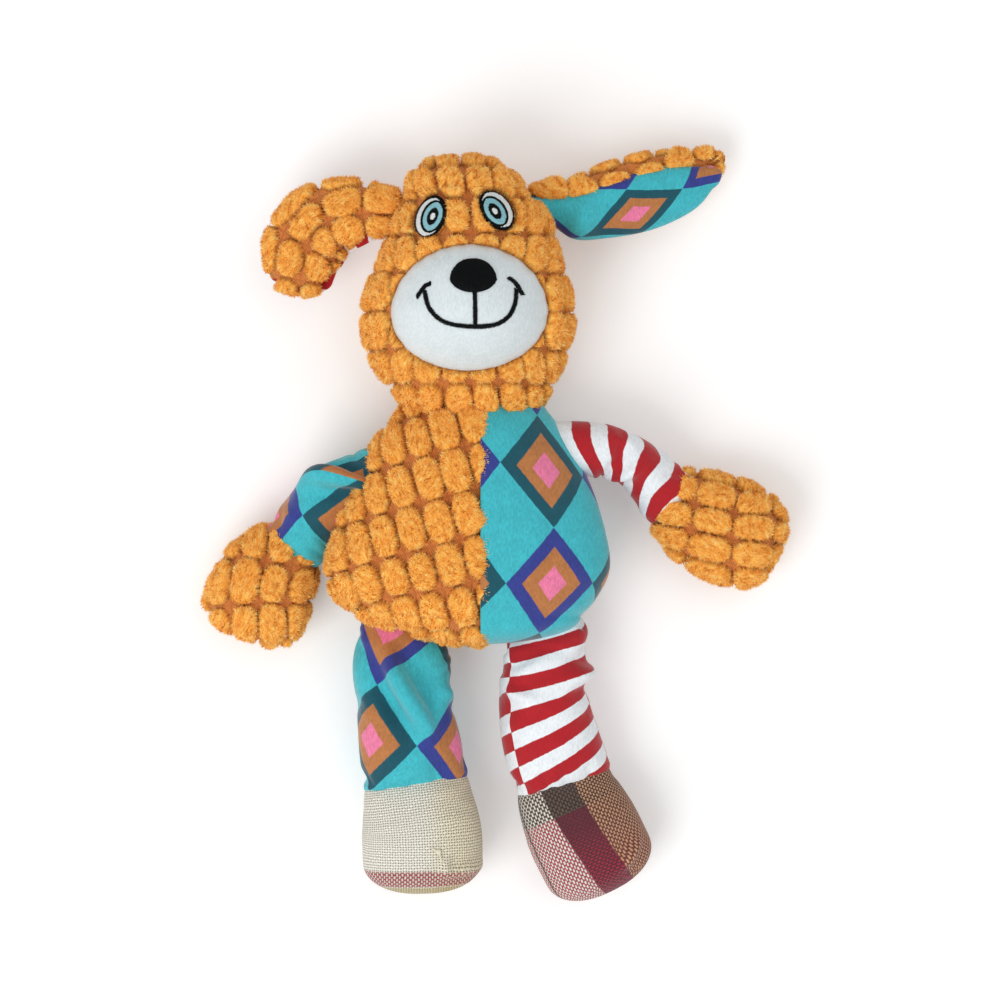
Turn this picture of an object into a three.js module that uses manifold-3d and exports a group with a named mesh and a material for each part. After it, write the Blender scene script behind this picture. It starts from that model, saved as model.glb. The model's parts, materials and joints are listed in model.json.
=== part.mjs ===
// Patchwork plush dog with a squeaker in its belly, lying on its back.
// Millimetres, +Z up from the surface it lies on, +Y towards the head, +X towards the toy's own left hand.
// The origin is the middle of the torso's back. Left and right are the toy's own.
import * as THREE from 'three';
import { mergeVertices } from 'three/addons/utils/BufferGeometryUtils.js';
import Module from 'manifold-3d';

const wasm = await Module();
wasm.setup();

// Cloth thicknesses, pile included
const PLUSH = 5;
const PRINT = 1.5;
const WEAVE = 1.2;
const VELBOA = 1.8;
const THREAD = 1.2;

// Clearances
const GAP = 0.3;
const REST_FLAT = 0.5;
const SEAM_THICKNESS = 5;
const MOUTH_SHARE = 0.6;

// Torso
const TORSO_LENGTH = 86;
const TORSO_WIDTH = 116;
const TORSO_DEPTH = 62;
const TORSO_LEAN = 4.5;
const TORSO_DOME = 10;
const PATCH_SEAM_X = 6.5;
// Share of the length from the neck down, then shares of the width and of the depth
const TORSO_SHAPE = [
  [0, 0.53, 0.62],
  [0.22, 0.72, 0.86],
  [0.48, 0.91, 0.98],
  [0.75, 1, 1],
  [1, 0.88, 0.78],
];
const TORSO_REST = 0.75;

// Head
const NECK_DEPTH = 20;
const HEAD_LENGTH = 80;
const HEAD_WIDTH = 92;
const HEAD_DEPTH = 74;
const HEAD_DOME = 19;
const HEAD_LEAN = 1.5;
// Share of the length from the neck up, then shares of the width and of the depth
const HEAD_SHAPE = [
  [0, 0.7, 0],
  [0.12, 0.85, 0.52],
  [0.27, 0.96, 0.82],
  [0.45, 1, 0.98],
  [0.64, 0.91, 1],
  [0.84, 0.76, 0.88],
  [1, 0.61, 0.66],
];

// Face, on axes that tilt with it
const FACE_UP = 34;
const FACE_TILT = 6;
const MUZZLE_WIDTH = 65;
const MUZZLE_HEIGHT = 53;
const MUZZLE_DEPTH = 52;
const MUZZLE_PROUD = 12;
const NOSE_UP = 14;
const NOSE_WIDTH = 20;
const NOSE_HEIGHT = 15;
const MOUTH_DROP = 7;
const MOUTH_WIDTH = 39;
const MOUTH_RISE = 8;
const MOUTH_LINE = 2.2;
const EYE_UP = 41;
const EYE_SPACING = 26;
const EYE_WIDTH = 13;
const EYE_HEIGHT = 19.5;
const EYE_TILT = 24;
const EYE_LINE = 1.5;
const IRIS_SHARE = 0.72;
const PUPIL_SHARE = 0.4;

// Limbs. A root is sewn flat, then the limb turns along an arc and runs on straight to its cuff.
const ARM_WIDTH = 30;
const ARM_DEPTH = 23;
const WRIST_DEPTH = 11;
const LEG_WIDTH = 41;
const LEG_DEPTH = 29;
const ANKLE_DEPTH = 15;
const RIGHT_ARM = { below: 21.5, swing: 26, length: 45, turn: 71, turnRadius: 22 };
const LEFT_ARM = { below: 14, swing: 0, length: 54, turn: -75, turnRadius: 20 };
const RIGHT_LEG = { across: -26, swing: 0, length: 47, turn: 16, turnRadius: 60 };
const LEFT_LEG = { across: 33, swing: 0, length: 54, turn: -2, turnRadius: 60 };
// Share of the length from the root, then shares of the width and of the depth beyond the seam's thickness
const SLEEVE_SHAPE = [
  [0, 0.9, 0],
  [0.22, 0.98, 0.68],
  [0.5, 1, 1],
  [0.8, 0.95, 0.72],
  [1, 0.9, 0],
];

// Mittens and feet
const PAW_LENGTH = 32;
const PAW_WIDTH = 50;
const PAW_DEPTH = 37;
const PAW_DOME = 12;
const RIGHT_PAW_YAW = 3;
const LEFT_PAW_YAW = 20;
const FOOT_LENGTH = 33;
const FOOT_WIDTH = 49;
const FOOT_DEPTH = 38;
const FOOT_DOME = 12;
const RIGHT_FOOT_YAW = -3;
const LEFT_FOOT_YAW = 11;
// Share of the length from the cuff, then shares of the width and of the depth beyond the cuff's
const MITTEN_SHAPE = [
  [0, 0.62, 0],
  [0.3, 0.88, 0.72],
  [0.65, 1, 1],
  [1, 0.84, 0.8],
];
const FOOT_SHAPE = [
  [0, 0.84, 0],
  [0.3, 0.95, 0.62],
  [0.68, 1, 1],
  [1, 0.9, 0.82],
];

// Ears: two layers of cloth sewn edge to edge
const EAR_WIDTH = 38;
const EAR_TIP_HEIGHT = 6;
const EAR_SEAM_THICKNESS = 4;
const RIGHT_EAR = { below: 23, length: 56, turn: 115, turnRadius: 23, roll: 0 };
const LEFT_EAR = { below: 23, length: 68, turn: -20, turnRadius: 60, roll: 30 };
const EAR_DOME = 12;
// Share of the length from the root, then shares of the width and of the cloth's thickness
const EAR_SHAPE = [
  [0, 0.5, 0],
  [0.2, 0.68, 1],
  [0.5, 0.96, 1],
  [0.75, 1, 1],
  [1, 0.78, 1],
];

// Squeaker: a bellows bulb, a whistle pressed into its mouth and the reed in the whistle
const BULB_DIAMETER = 42;
const BULB_HEIGHT = 24;
const BULB_WALL = 1.2;
const BULB_FOLDS = 3;
const FOLD_DEPTH = 2.6;
const WHISTLE_DIAMETER = 11;
const WHISTLE_LENGTH = 12;
const FLANGE_DIAMETER = 17;
const FLANGE_THICKNESS = 1.6;
const BORE_DIAMETER = 7;
const REED_LENGTH = 9;
const REED_THICKNESS = 0.6;

// Facets
const SIDES = 22;
const LIMB_SIDES = 14;
const BODY_STEPS = 8;
const LIMB_STEPS = 6;
const DOME_STEPS = 3;
const ROUND_STEPS = 24;
const CURVE_STEPS = 7;

const UP = new THREE.Vector3(0, 0, 1);
const ROLL_ANGLES = [80, 40].map((angle) => THREE.MathUtils.degToRad(angle));
const FAR = 400;
const MID_HEIGHT = TORSO_DEPTH / 2 - REST_FLAT;
const HEAD_HEIGHT = HEAD_DEPTH / 2 - REST_FLAT;
const radians = THREE.MathUtils.degToRad;
const smooth = THREE.MathUtils.smoothstep;

const cloth = (color, roughness = 0.95) => new THREE.MeshStandardMaterial({ color, roughness, metalness: 0 });
const materials = {
  plush: cloth('#e0912f'),
  argyle: cloth('#45b4ba'),
  stripe: cloth('#c8283a'),
  weave: cloth('#d9cfae'),
  plaid: cloth('#8a4650'),
  muzzle: cloth('#eef2f2'),
  blackThread: cloth('#141414', 0.6),
  whiteThread: cloth('#f2f4f2', 0.7),
  blueThread: cloth('#9fd3da', 0.7),
  fibre: cloth('#f4f2ec'),
  bulb: cloth('#d8dde0', 0.5),
  whistle: cloth('#f6f6f4', 0.4),
};

// Solids

function solid(geometry) {
  const bare = geometry.clone();
  bare.deleteAttribute('normal');
  bare.deleteAttribute('uv');
  const merged = mergeVertices(bare, 1e-4);
  const corners = merged.index.array;
  const triVerts = [];
  for (let i = 0; i < corners.length; i += 3) {
    const [a, b, c] = corners.slice(i, i + 3);
    if (a !== b && b !== c && c !== a) triVerts.push(a, b, c);
  }
  const made = new wasm.Manifold(
    new wasm.Mesh({
      numProp: 3,
      vertProperties: new Float32Array(merged.attributes.position.array),
      triVerts: new Uint32Array(triVerts),
    }),
  );
  return made.volume() < 0 ? solid(turned(merged)) : made;
}

// The same surface with its faces turned round
function turned(geometry) {
  const index = geometry.index.array;
  for (let i = 0; i < index.length; i += 3) [index[i + 1], index[i + 2]] = [index[i + 2], index[i + 1]];
  return geometry;
}

function geometryOf(made) {
  const mesh = made.getMesh();
  const geometry = new THREE.BufferGeometry();
  geometry.setAttribute('position', new THREE.BufferAttribute(mesh.vertProperties, 3));
  geometry.setIndex(new THREE.BufferAttribute(mesh.triVerts, 1));
  const faceted = geometry.toNonIndexed();
  faceted.computeVertexNormals();
  return faceted;
}

function addPiece(group, name, material, made) {
  const mesh = new THREE.Mesh(geometryOf(made), material);
  mesh.name = name;
  group.add(mesh);
}

function box(low, high) {
  const size = new THREE.Vector3().subVectors(high, low);
  const middle = new THREE.Vector3().addVectors(low, high).multiplyScalar(0.5);
  return solid(new THREE.BoxGeometry(size.x, size.y, size.z).translate(middle.x, middle.y, middle.z));
}

// An upright prism on a flat outline, long enough to pass through the head
function prism(shape) {
  return solid(new THREE.ExtrudeGeometry(shape, { depth: FAR, bevelEnabled: false, curveSegments: CURVE_STEPS }));
}

// Stuffed forms

// A smooth curve through the rows of a shape table, read at a share of the length
function shapeCurve(table) {
  const slope = (i, column) => {
    const before = table[Math.max(i - 1, 0)];
    const after = table[Math.min(i + 1, table.length - 1)];
    return (after[column] - before[column]) / (after[0] - before[0]);
  };
  return (share, column) => {
    const last = table.length - 2;
    const found = table.findIndex((row, i) => i <= last && share <= table[i + 1][0]);
    const i = found < 0 ? last : found;
    const span = table[i + 1][0] - table[i][0];
    const t = (share - table[i][0]) / span;
    const [a, b] = [table[i][column], table[i + 1][column]];
    const [ma, mb] = [slope(i, column) * span, slope(i + 1, column) * span];
    return (
      a * (2 * t ** 3 - 3 * t ** 2 + 1) +
      ma * (t ** 3 - 2 * t ** 2 + t) +
      b * (3 * t ** 2 - 2 * t ** 3) +
      mb * (t ** 3 - t ** 2)
    );
  };
}

// Where a form's skin stands at a share of its length. Shares from 1 to 2 go round the dome at its far end.
function ringAt(form, share, grow) {
  const along = Math.min(share, 1);
  const round = Math.max(share - 1, 0) * Math.PI / 2;
  const step = 0.01;
  const tangent = new THREE.Vector3();
  if (form.heading) tangent.copy(form.heading);
  else tangent.subVectors(form.path(Math.min(along + step, 1)), form.path(Math.max(along - step, 0))).normalize();
  const centre = form.path(along).addScaledVector(tangent, ((form.dome ?? 0) + grow) * Math.sin(round));
  return {
    centre,
    tangent,
    halfWidth: (form.width(along) / 2 + grow) * Math.cos(round),
    halfDepth: (form.depth(along) / 2 + grow) * Math.cos(round),
    roll: form.roll ? form.roll(along) : 0,
  };
}

// The corners of an elliptical section: with two sides over a multiple of four, a corner lies at either hand and a
// flat edge underneath
function ovalSection(halfWidth, halfDepth, sides) {
  return Array.from({ length: sides }, (_, i) => {
    const angle = (i * 2 * Math.PI) / sides;
    return [halfWidth * Math.cos(angle), halfDepth * Math.sin(angle)];
  });
}

function ringPoints({ centre, tangent, roll }, section, floor) {
  const side = new THREE.Vector3().crossVectors(UP, tangent).normalize().applyAxisAngle(tangent, roll);
  const up = new THREE.Vector3().crossVectors(tangent, side);
  return section.map(([across, above]) => {
    const point = centre.clone().addScaledVector(side, across).addScaledVector(up, above);
    point.z = Math.max(point.z, floor);
    return point;
  });
}

// Skins a run of rings, and closes both ends
function skin(rings) {
  const count = rings[0].length;
  const middle = (ring) => ring.reduce((sum, p) => sum.add(p), new THREE.Vector3()).divideScalar(count);
  const points = [...rings.flat(), middle(rings[0]), middle(rings.at(-1))];
  const [first, last] = [points.length - 2, points.length - 1];
  const index = [];
  for (let k = 0; k < count; k++) {
    const next = (k + 1) % count;
    const end = (rings.length - 1) * count;
    index.push(first, next, k, last, end + k, end + next);
    for (let r = 0; r + 1 < rings.length; r++) {
      const [a, b] = [r * count, (r + 1) * count];
      index.push(a + k, a + next, b + k, a + next, b + next, b + k);
    }
  }
  return new THREE.BufferGeometry().setFromPoints(points).setIndex(index);
}

const shifted = (ring, distance) => ({
  ...ring,
  centre: ring.centre.clone().addScaledVector(ring.tangent, distance),
});

const ringSolid = (rings, sides, floor) =>
  solid(skin(rings.map((ring) => ringPoints(ring, ovalSection(ring.halfWidth, ring.halfDepth, sides), floor))));

// A form as a solid, its skin moved out by that much. An open root or end runs on, so that it can cut a mouth.
function formSolid(form, grow = 0, { openRoot = false, openEnd = false } = {}) {
  const rings = [];
  const root = ringAt(form, 0, grow);
  if (openRoot) rings.push(shifted(root, -SEAM_THICKNESS));
  else if (form.rolledRoot)
    for (const angle of ROLL_ANGLES)
      rings.push({
        ...shifted(root, -root.halfDepth * Math.sin(angle)),
        halfWidth: root.halfWidth - root.halfDepth * (1 - Math.cos(angle)),
        halfDepth: root.halfDepth * Math.cos(angle),
      });
  for (let i = 0; i <= form.steps; i++) rings.push(ringAt(form, i / form.steps, grow));
  if (openEnd) rings.push(shifted(ringAt(form, 1, grow), SEAM_THICKNESS));
  if (form.dome)
    for (let i = 1; i <= DOME_STEPS; i++) rings.push(ringAt(form, 1 + i / (DOME_STEPS + 0.25), grow));
  return ringSolid(rings, form.sides, form.floor + Math.max(0, -grow));
}

// The space in a cover of that thickness, with the mouth in its rolled root through which it is filled
function hollowOf(form, thickness, openEnd = false) {
  const root = ringAt(form, 0, -thickness);
  const mouth = { ...root, halfWidth: root.halfWidth * MOUTH_SHARE };
  const reach = root.halfDepth + 2 * thickness;
  const passage = ringSolid([shifted(mouth, -reach), shifted(mouth, reach)], form.sides, form.floor);
  return formSolid(form, -thickness, { openEnd }).add(passage);
}

// A level path that turns along an arc, runs on straight and sinks by that much on the way
function turningPath({ length, turn, turnRadius }, sink) {
  const angle = radians(turn);
  const side = Math.sign(angle);
  const arc = Math.min(Math.abs(angle) * turnRadius, length);
  return (share) => {
    const onArc = Math.min(share * length, arc) / turnRadius;
    const beyond = Math.max(share * length - arc, 0);
    const x = turnRadius * Math.sin(onArc) + beyond * Math.cos(onArc);
    const y = turnRadius * (1 - Math.cos(onArc)) + beyond * Math.sin(onArc);
    return new THREE.Vector3(x, side * y, -sink * smooth(share, 0, 1));
  };
}

// The way a turning path points at its end, from +X
function endHeading({ length, turn, turnRadius }) {
  return Math.sign(turn) * Math.min(radians(Math.abs(turn)), length / turnRadius);
}

// A seat on a form's outline at mid-depth, on the side with that sign, where the measured place reaches the value.
// The outline is followed from that share of the length to the tip of the dome. A swing turns the seat from the
// outline's normal, and moves it out until an edge of that width clears the form.
function seatOn(form, side, grow, from, measure, value, swing = 0, edgeWidth = 0) {
  const outline = (share) => {
    const ring = ringAt(form, share, grow);
    const across = new THREE.Vector3().crossVectors(UP, ring.tangent).normalize();
    return ring.centre.addScaledVector(across, side * ring.halfWidth);
  };
  let [low, high] = [from, 1.99];
  const rising = measure(outline(high)) > measure(outline(low));
  for (let i = 0; i < 40; i++) {
    const middle = (low + high) / 2;
    if (measure(outline(middle)) < value === rising) low = middle;
    else high = middle;
  }
  const point = outline(low);
  const along = new THREE.Vector3().subVectors(outline(low + 0.005), outline(low - 0.005)).normalize();
  const normal = new THREE.Vector3().crossVectors(along, UP).multiplyScalar(-side).setZ(0).normalize();
  normal.applyAxisAngle(UP, radians(swing));
  let proud = 0;
  for (let share = 0; share < 2; share += 0.01) {
    const offset = outline(share).sub(point);
    const reach = offset.dot(normal);
    if (offset.addScaledVector(normal, -reach).length() < edgeWidth / 2) proud = Math.max(proud, reach);
  }
  return { point: point.addScaledVector(normal, proud), normal };
}

// A group whose +X runs along the normal, its axis a clearance and a rolled edge away from the seat
function hingeGroup(parent, name, { point, normal }, edgeRadius) {
  const group = new THREE.Group();
  group.name = name;
  group.position.copy(point).addScaledVector(normal, edgeRadius + GAP);
  group.rotation.z = Math.atan2(normal.y, normal.x);
  parent.add(group);
  return group;
}

const toy = new THREE.Group();

// Torso: two halves of cloth, plush on the toy's right and print on its left, round fibre fill and the squeaker

const torsoTop = TORSO_LENGTH * TORSO_REST;
const torsoShape = shapeCurve(TORSO_SHAPE);
const torso = {
  path: (s) => new THREE.Vector3(TORSO_LEAN * (TORSO_REST - s), torsoTop - s * TORSO_LENGTH, MID_HEIGHT),
  heading: new THREE.Vector3(0, -1, 0),
  width: (s) => TORSO_WIDTH * torsoShape(s, 1),
  depth: (s) => TORSO_DEPTH * torsoShape(s, 2),
  dome: TORSO_DOME,
  floor: 0,
  sides: SIDES,
  steps: BODY_STEPS,
};

function addTorsoCovers() {
  const inside = formSolid(torso, -PRINT, { openRoot: true });
  const seam = (low, high) => box(new THREE.Vector3(low, -FAR, -FAR), new THREE.Vector3(high, FAR, FAR));
  const rightOfSeam = seam(-FAR, PATCH_SEAM_X - GAP / 2);
  const leftOfSeam = seam(PATCH_SEAM_X + GAP / 2, FAR);
  const plush = formSolid(torso, PLUSH - PRINT).subtract(inside).intersect(rightOfSeam);
  addPiece(toy, 'torso_plush_cover', materials.plush, plush);
  addPiece(toy, 'torso_print_cover', materials.argyle, formSolid(torso).subtract(inside).intersect(leftOfSeam));
}

// The bulb's outer or inner wall from its foot to its mouth, with a crest to each fold
function bulbWall(inset) {
  const radius = BULB_DIAMETER / 2 - inset;
  const [foot, top] = [inset, BULB_HEIGHT - inset];
  const points = [];
  for (let i = 0; i <= BULB_FOLDS * 2; i++) {
    const root = i % 2 === 0 ? FOLD_DEPTH : 0;
    points.push(new THREE.Vector2(radius - root, foot + ((top - foot) * i) / (BULB_FOLDS * 2)));
  }
  return points;
}

const upright = (profile, steps) => solid(new THREE.LatheGeometry(profile, steps).rotateX(Math.PI / 2));

function addSqueaker(group) {
  const mouth = WHISTLE_DIAMETER / 2 + GAP;
  const [outer, inner] = [bulbWall(0), bulbWall(BULB_WALL)];
  const bulb = [
    new THREE.Vector2(0, 0),
    ...outer,
    new THREE.Vector2(mouth, BULB_HEIGHT),
    new THREE.Vector2(mouth, BULB_HEIGHT - BULB_WALL),
    ...inner.reverse(),
    new THREE.Vector2(0, BULB_WALL),
  ];
  addPiece(group, 'squeaker_bulb', materials.bulb, upright(bulb, ROUND_STEPS));
  const seat = BULB_HEIGHT + GAP;
  const [bore, body, flange] = [BORE_DIAMETER / 2, WHISTLE_DIAMETER / 2, FLANGE_DIAMETER / 2];
  const whistle = [
    [bore, seat - WHISTLE_LENGTH],
    [body, seat - WHISTLE_LENGTH],
    [body, seat],
    [flange, seat],
    [flange, seat + FLANGE_THICKNESS],
    [bore, seat + FLANGE_THICKNESS],
    [bore, seat - WHISTLE_LENGTH],
  ].map(([r, z]) => new THREE.Vector2(r, z));
  addPiece(group, 'squeaker_whistle', materials.whistle, upright(whistle, ROUND_STEPS));
  const facetInset = bore * (1 - Math.cos(Math.PI / ROUND_STEPS));
  const reedWidth = 2 * Math.sqrt((bore - facetInset - GAP) ** 2 - (REED_THICKNESS / 2) ** 2);
  const reed = new THREE.BoxGeometry(reedWidth, REED_THICKNESS, REED_LENGTH);
  addPiece(group, 'squeaker_reed', materials.whistle, solid(reed.translate(0, 0, seat - WHISTLE_LENGTH / 2)));
}

// Fibre fill behind and in front of the squeaker, hollowed to hold it
function addTorsoFill(foot) {
  const fill = formSolid(torso, -PRINT - GAP);
  const seat = BULB_HEIGHT + GAP;
  const pocket = [
    [0, -GAP],
    [BULB_DIAMETER / 2 + GAP, -GAP],
    [BULB_DIAMETER / 2 + GAP, seat],
    [FLANGE_DIAMETER / 2 + GAP, seat],
    [FLANGE_DIAMETER / 2 + GAP, seat + FLANGE_THICKNESS + GAP],
    [0, seat + FLANGE_THICKNESS + GAP],
  ].map(([r, z]) => new THREE.Vector2(r, z));
  const hollowed = fill.subtract(upright(pocket, ROUND_STEPS).translate([0, 0, foot]));
  const split = foot + BULB_HEIGHT / 2;
  const slab = (low, high) => box(new THREE.Vector3(-FAR, -FAR, low), new THREE.Vector3(FAR, FAR, high));
  addPiece(toy, 'torso_stuffing_back', materials.fibre, hollowed.intersect(slab(-FAR, split - GAP / 2)));
  addPiece(toy, 'torso_stuffing_front', materials.fibre, hollowed.intersect(slab(split + GAP / 2, FAR)));
}

addTorsoCovers();
const bulbFoot = MID_HEIGHT - BULB_HEIGHT / 2;
const squeaker = new THREE.Group();
squeaker.position.z = bulbFoot;
toy.add(squeaker);
addSqueaker(squeaker);
addTorsoFill(bulbFoot);

// Head: a plush bag with a hole for the muzzle, on a rounded neck that nods against the torso

const neck = hingeGroup(
  toy,
  'neck',
  { point: torso.path(0), normal: new THREE.Vector3(0, 1, 0) },
  NECK_DEPTH / 2,
);
neck.rotation.z = 0;
const headShape = shapeCurve(HEAD_SHAPE);
const headRise = HEAD_HEIGHT - MID_HEIGHT;
const head = {
  path: (s) =>
    new THREE.Vector3(
      -Math.tan(radians(HEAD_LEAN)) * s * HEAD_LENGTH,
      s * HEAD_LENGTH,
      headRise * smooth(s, 0, HEAD_SHAPE[3][0]),
    ),
  heading: new THREE.Vector3(0, 1, 0),
  width: (s) => HEAD_WIDTH * headShape(s, 1),
  depth: (s) => NECK_DEPTH + (HEAD_DEPTH - NECK_DEPTH) * headShape(s, 2),
  dome: HEAD_DOME,
  rolledRoot: true,
  floor: -MID_HEIGHT,
  sides: SIDES,
  steps: BODY_STEPS,
};

// Places a shape drawn on the face's own axes on the head
function onFace(made) {
  return made.rotate([0, 0, FACE_TILT]).translate([0, FACE_UP, 0]);
}

function muzzleSolid(grow) {
  const ball = new THREE.SphereGeometry(1, ROUND_STEPS, ROUND_STEPS / 2).rotateX(Math.PI / 2);
  ball.scale(MUZZLE_WIDTH / 2 + grow, MUZZLE_HEIGHT / 2 + grow, MUZZLE_DEPTH / 2 + grow);
  const front = headRise + HEAD_DEPTH / 2;
  return onFace(solid(ball.translate(0, 0, front + MUZZLE_PROUD - MUZZLE_DEPTH / 2)));
}

function ellipseShape(width, height) {
  return new THREE.Shape().absellipse(0, 0, width / 2, height / 2, 0, 2 * Math.PI);
}

// A flat ribbon of the thread's line width along a curve on the face
function ribbon(points) {
  const curve = new THREE.SplineCurve(points.map(([x, y]) => new THREE.Vector2(x, y)));
  const steps = points.length * 2;
  const edge = (side) =>
    Array.from({ length: steps + 1 }, (_, i) => {
      const t = i / steps;
      const tangent = curve.getTangent(t);
      return curve.getPoint(t).add(new THREE.Vector2(-tangent.y, tangent.x).multiplyScalar((side * MOUTH_LINE) / 2));
    });
  return prism(new THREE.Shape([...edge(-1), ...edge(1).reverse()]));
}

function mouthPrism() {
  const [half, corner, low] = [MOUTH_WIDTH / 2, MOUTH_RISE, -MOUTH_DROP];
  const smile = ribbon([
    [-half, corner],
    [-half * 0.88, corner - 0.55 * (corner - low)],
    [-half * 0.5, low + 1],
    [0, low],
    [half * 0.5, low + 1],
    [half * 0.88, corner - 0.55 * (corner - low)],
    [half, corner],
  ]);
  const lip = ribbon([
    [0, NOSE_UP - NOSE_HEIGHT / 2 - GAP],
    [0, low],
  ]);
  const cheek = (side) =>
    ribbon([
      [side * (half + 3.5), corner - 3],
      [side * half, corner],
      [side * (half - 3.5), corner + 1.5],
    ]);
  return smile.add(lip).add(cheek(1)).add(cheek(-1));
}

function noseShape() {
  const [half, high, low] = [NOSE_WIDTH / 2, NOSE_HEIGHT / 2, -NOSE_HEIGHT / 2];
  const shape = new THREE.Shape().moveTo(0, low);
  shape.bezierCurveTo(half * 0.7, low, half, low * 0.7, half, low * 0.25);
  shape.bezierCurveTo(half, high * 0.5, half * 0.5, high, 0, high);
  shape.bezierCurveTo(-half * 0.5, high, -half, high * 0.5, -half, low * 0.25);
  shape.bezierCurveTo(-half, low * 0.7, -half * 0.7, low, 0, low);
  return prism(shape).translate([0, NOSE_UP, 0]);
}

// Rings of thread from the outline in to the pupil, each clear of the next
function addEye(name, side, band) {
  const layers = [
    ['outline', materials.blackThread, 1],
    ['white', materials.whiteThread, 1 - (2 * EYE_LINE) / EYE_WIDTH],
    ['iris', materials.blueThread, IRIS_SHARE * (1 - (2 * EYE_LINE) / EYE_WIDTH)],
    ['pupil', materials.blackThread, PUPIL_SHARE * (1 - (2 * EYE_LINE) / EYE_WIDTH)],
  ];
  const disc = (share, inset) =>
    prism(ellipseShape(EYE_WIDTH * share - inset, EYE_HEIGHT * share - inset));
  layers.forEach(([layer, material, share], i) => {
    const inner = layers[i + 1];
    const ring = inner ? disc(share, 2 * GAP).subtract(disc(inner[2], 0)) : disc(share, 2 * GAP);
    const placed = ring.rotate([0, 0, side * EYE_TILT]).translate([(side * EYE_SPACING) / 2, EYE_UP, 0]);
    addPiece(neck, `${name}_eye_${layer}`, material, onFace(placed).intersect(band));
  });
}

function addHead() {
  const outside = formSolid(head);
  const hole = muzzleSolid(-VELBOA);
  const bag = outside.subtract(hollowOf(head, PLUSH)).subtract(hole);
  addPiece(neck, 'head_cover', materials.plush, bag);
  const clearOfHead = formSolid(head, GAP);
  addPiece(neck, 'muzzle_cover', materials.muzzle, muzzleSolid(0).subtract(hole).subtract(clearOfHead));
  const fill = formSolid(head, -PLUSH - GAP).add(muzzleSolid(-VELBOA - GAP));
  addPiece(neck, 'head_stuffing', materials.fibre, fill);
  const muzzleBand = muzzleSolid(GAP + THREAD).subtract(muzzleSolid(GAP)).subtract(clearOfHead);
  addPiece(neck, 'nose_embroidery', materials.blackThread, onFace(noseShape()).intersect(muzzleBand));
  addPiece(neck, 'mouth_embroidery', materials.blackThread, onFace(mouthPrism()).intersect(muzzleBand));
  const headBand = formSolid(head, GAP + THREAD).subtract(clearOfHead).subtract(muzzleSolid(GAP));
  addEye('right', -1, headBand);
  addEye('left', 1, headBand);
}

addHead();

// Ears: a layer of plush and a lining, sewn round the edge and hinged on the seam at the head

// A rounded layer of that thickness on one side of the ear's middle
function layerSection(halfWidth, thickness, side) {
  const steps = LIMB_SIDES / 2;
  return Array.from({ length: steps + 1 }, (_, i) => {
    const angle = (i * Math.PI) / steps;
    return [halfWidth * Math.cos(angle), side * (GAP / 2 + thickness * Math.sin(angle))];
  });
}

function earLayer(ear, thickness, side) {
  const seam = (EAR_SEAM_THICKNESS - GAP) / 2;
  const rings = [];
  const addRing = (ring, thick) => rings.push(ringPoints(ring, layerSection(ring.halfWidth, thick, side), ear.floor));
  const root = ringAt(ear, 0, 0);
  for (const angle of ROLL_ANGLES) {
    const edge = shifted(root, (-EAR_SEAM_THICKNESS / 2) * Math.sin(angle));
    addRing({ ...edge, halfWidth: root.halfWidth - seam * (1 - Math.cos(angle)) }, seam * Math.cos(angle));
  }
  for (let i = 0; i <= BODY_STEPS + DOME_STEPS; i++) {
    const beyond = Math.max(i - BODY_STEPS, 0) / (DOME_STEPS + 0.25);
    const along = Math.min(i / BODY_STEPS, 1);
    const swell = ear.swell(along) * Math.cos((beyond * Math.PI) / 2);
    addRing(ringAt(ear, along + beyond, 0), seam + (thickness - seam) * swell);
  }
  return solid(skin(rings));
}

function addEar(name, side, sizes, faceUp) {
  const crown = HEAD_LENGTH + HEAD_DOME;
  const edge = EAR_WIDTH * EAR_SHAPE[0][1] - 2 * EAR_SEAM_THICKNESS;
  const seat = seatOn(head, -side, 0, 0.5, (p) => p.y, crown - sizes.below, 0, edge);
  const group = hingeGroup(neck, `${name}_ear_root`, seat, EAR_SEAM_THICKNESS / 2);
  const height = MID_HEIGHT + seat.point.z;
  const shape = shapeCurve(EAR_SHAPE);
  const ear = {
    path: turningPath(sizes, height - EAR_TIP_HEIGHT),
    width: (s) => EAR_WIDTH * shape(s, 1),
    depth: () => EAR_SEAM_THICKNESS,
    swell: (s) => shape(s, 2),
    roll: (s) => radians(sizes.roll) * smooth(s, 0.1, 0.6),
    dome: EAR_DOME,
    floor: -height,
  };
  const [top, under] = faceUp === 'plush' ? [1, -1] : [-1, 1];
  addPiece(group, `${name}_ear_plush`, materials.plush, earLayer(ear, PLUSH, top));
  const lining = name === 'left' ? materials.argyle : materials.stripe;
  addPiece(group, `${name}_ear_lining`, lining, earLayer(ear, PRINT, under));
}

addEar('right', -1, RIGHT_EAR, 'plush');
addEar('left', 1, LEFT_EAR, 'lining');

// Arms and legs: a printed sleeve that hinges on its flat root, with a mitten or a foot that hinges at its cuff

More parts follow.
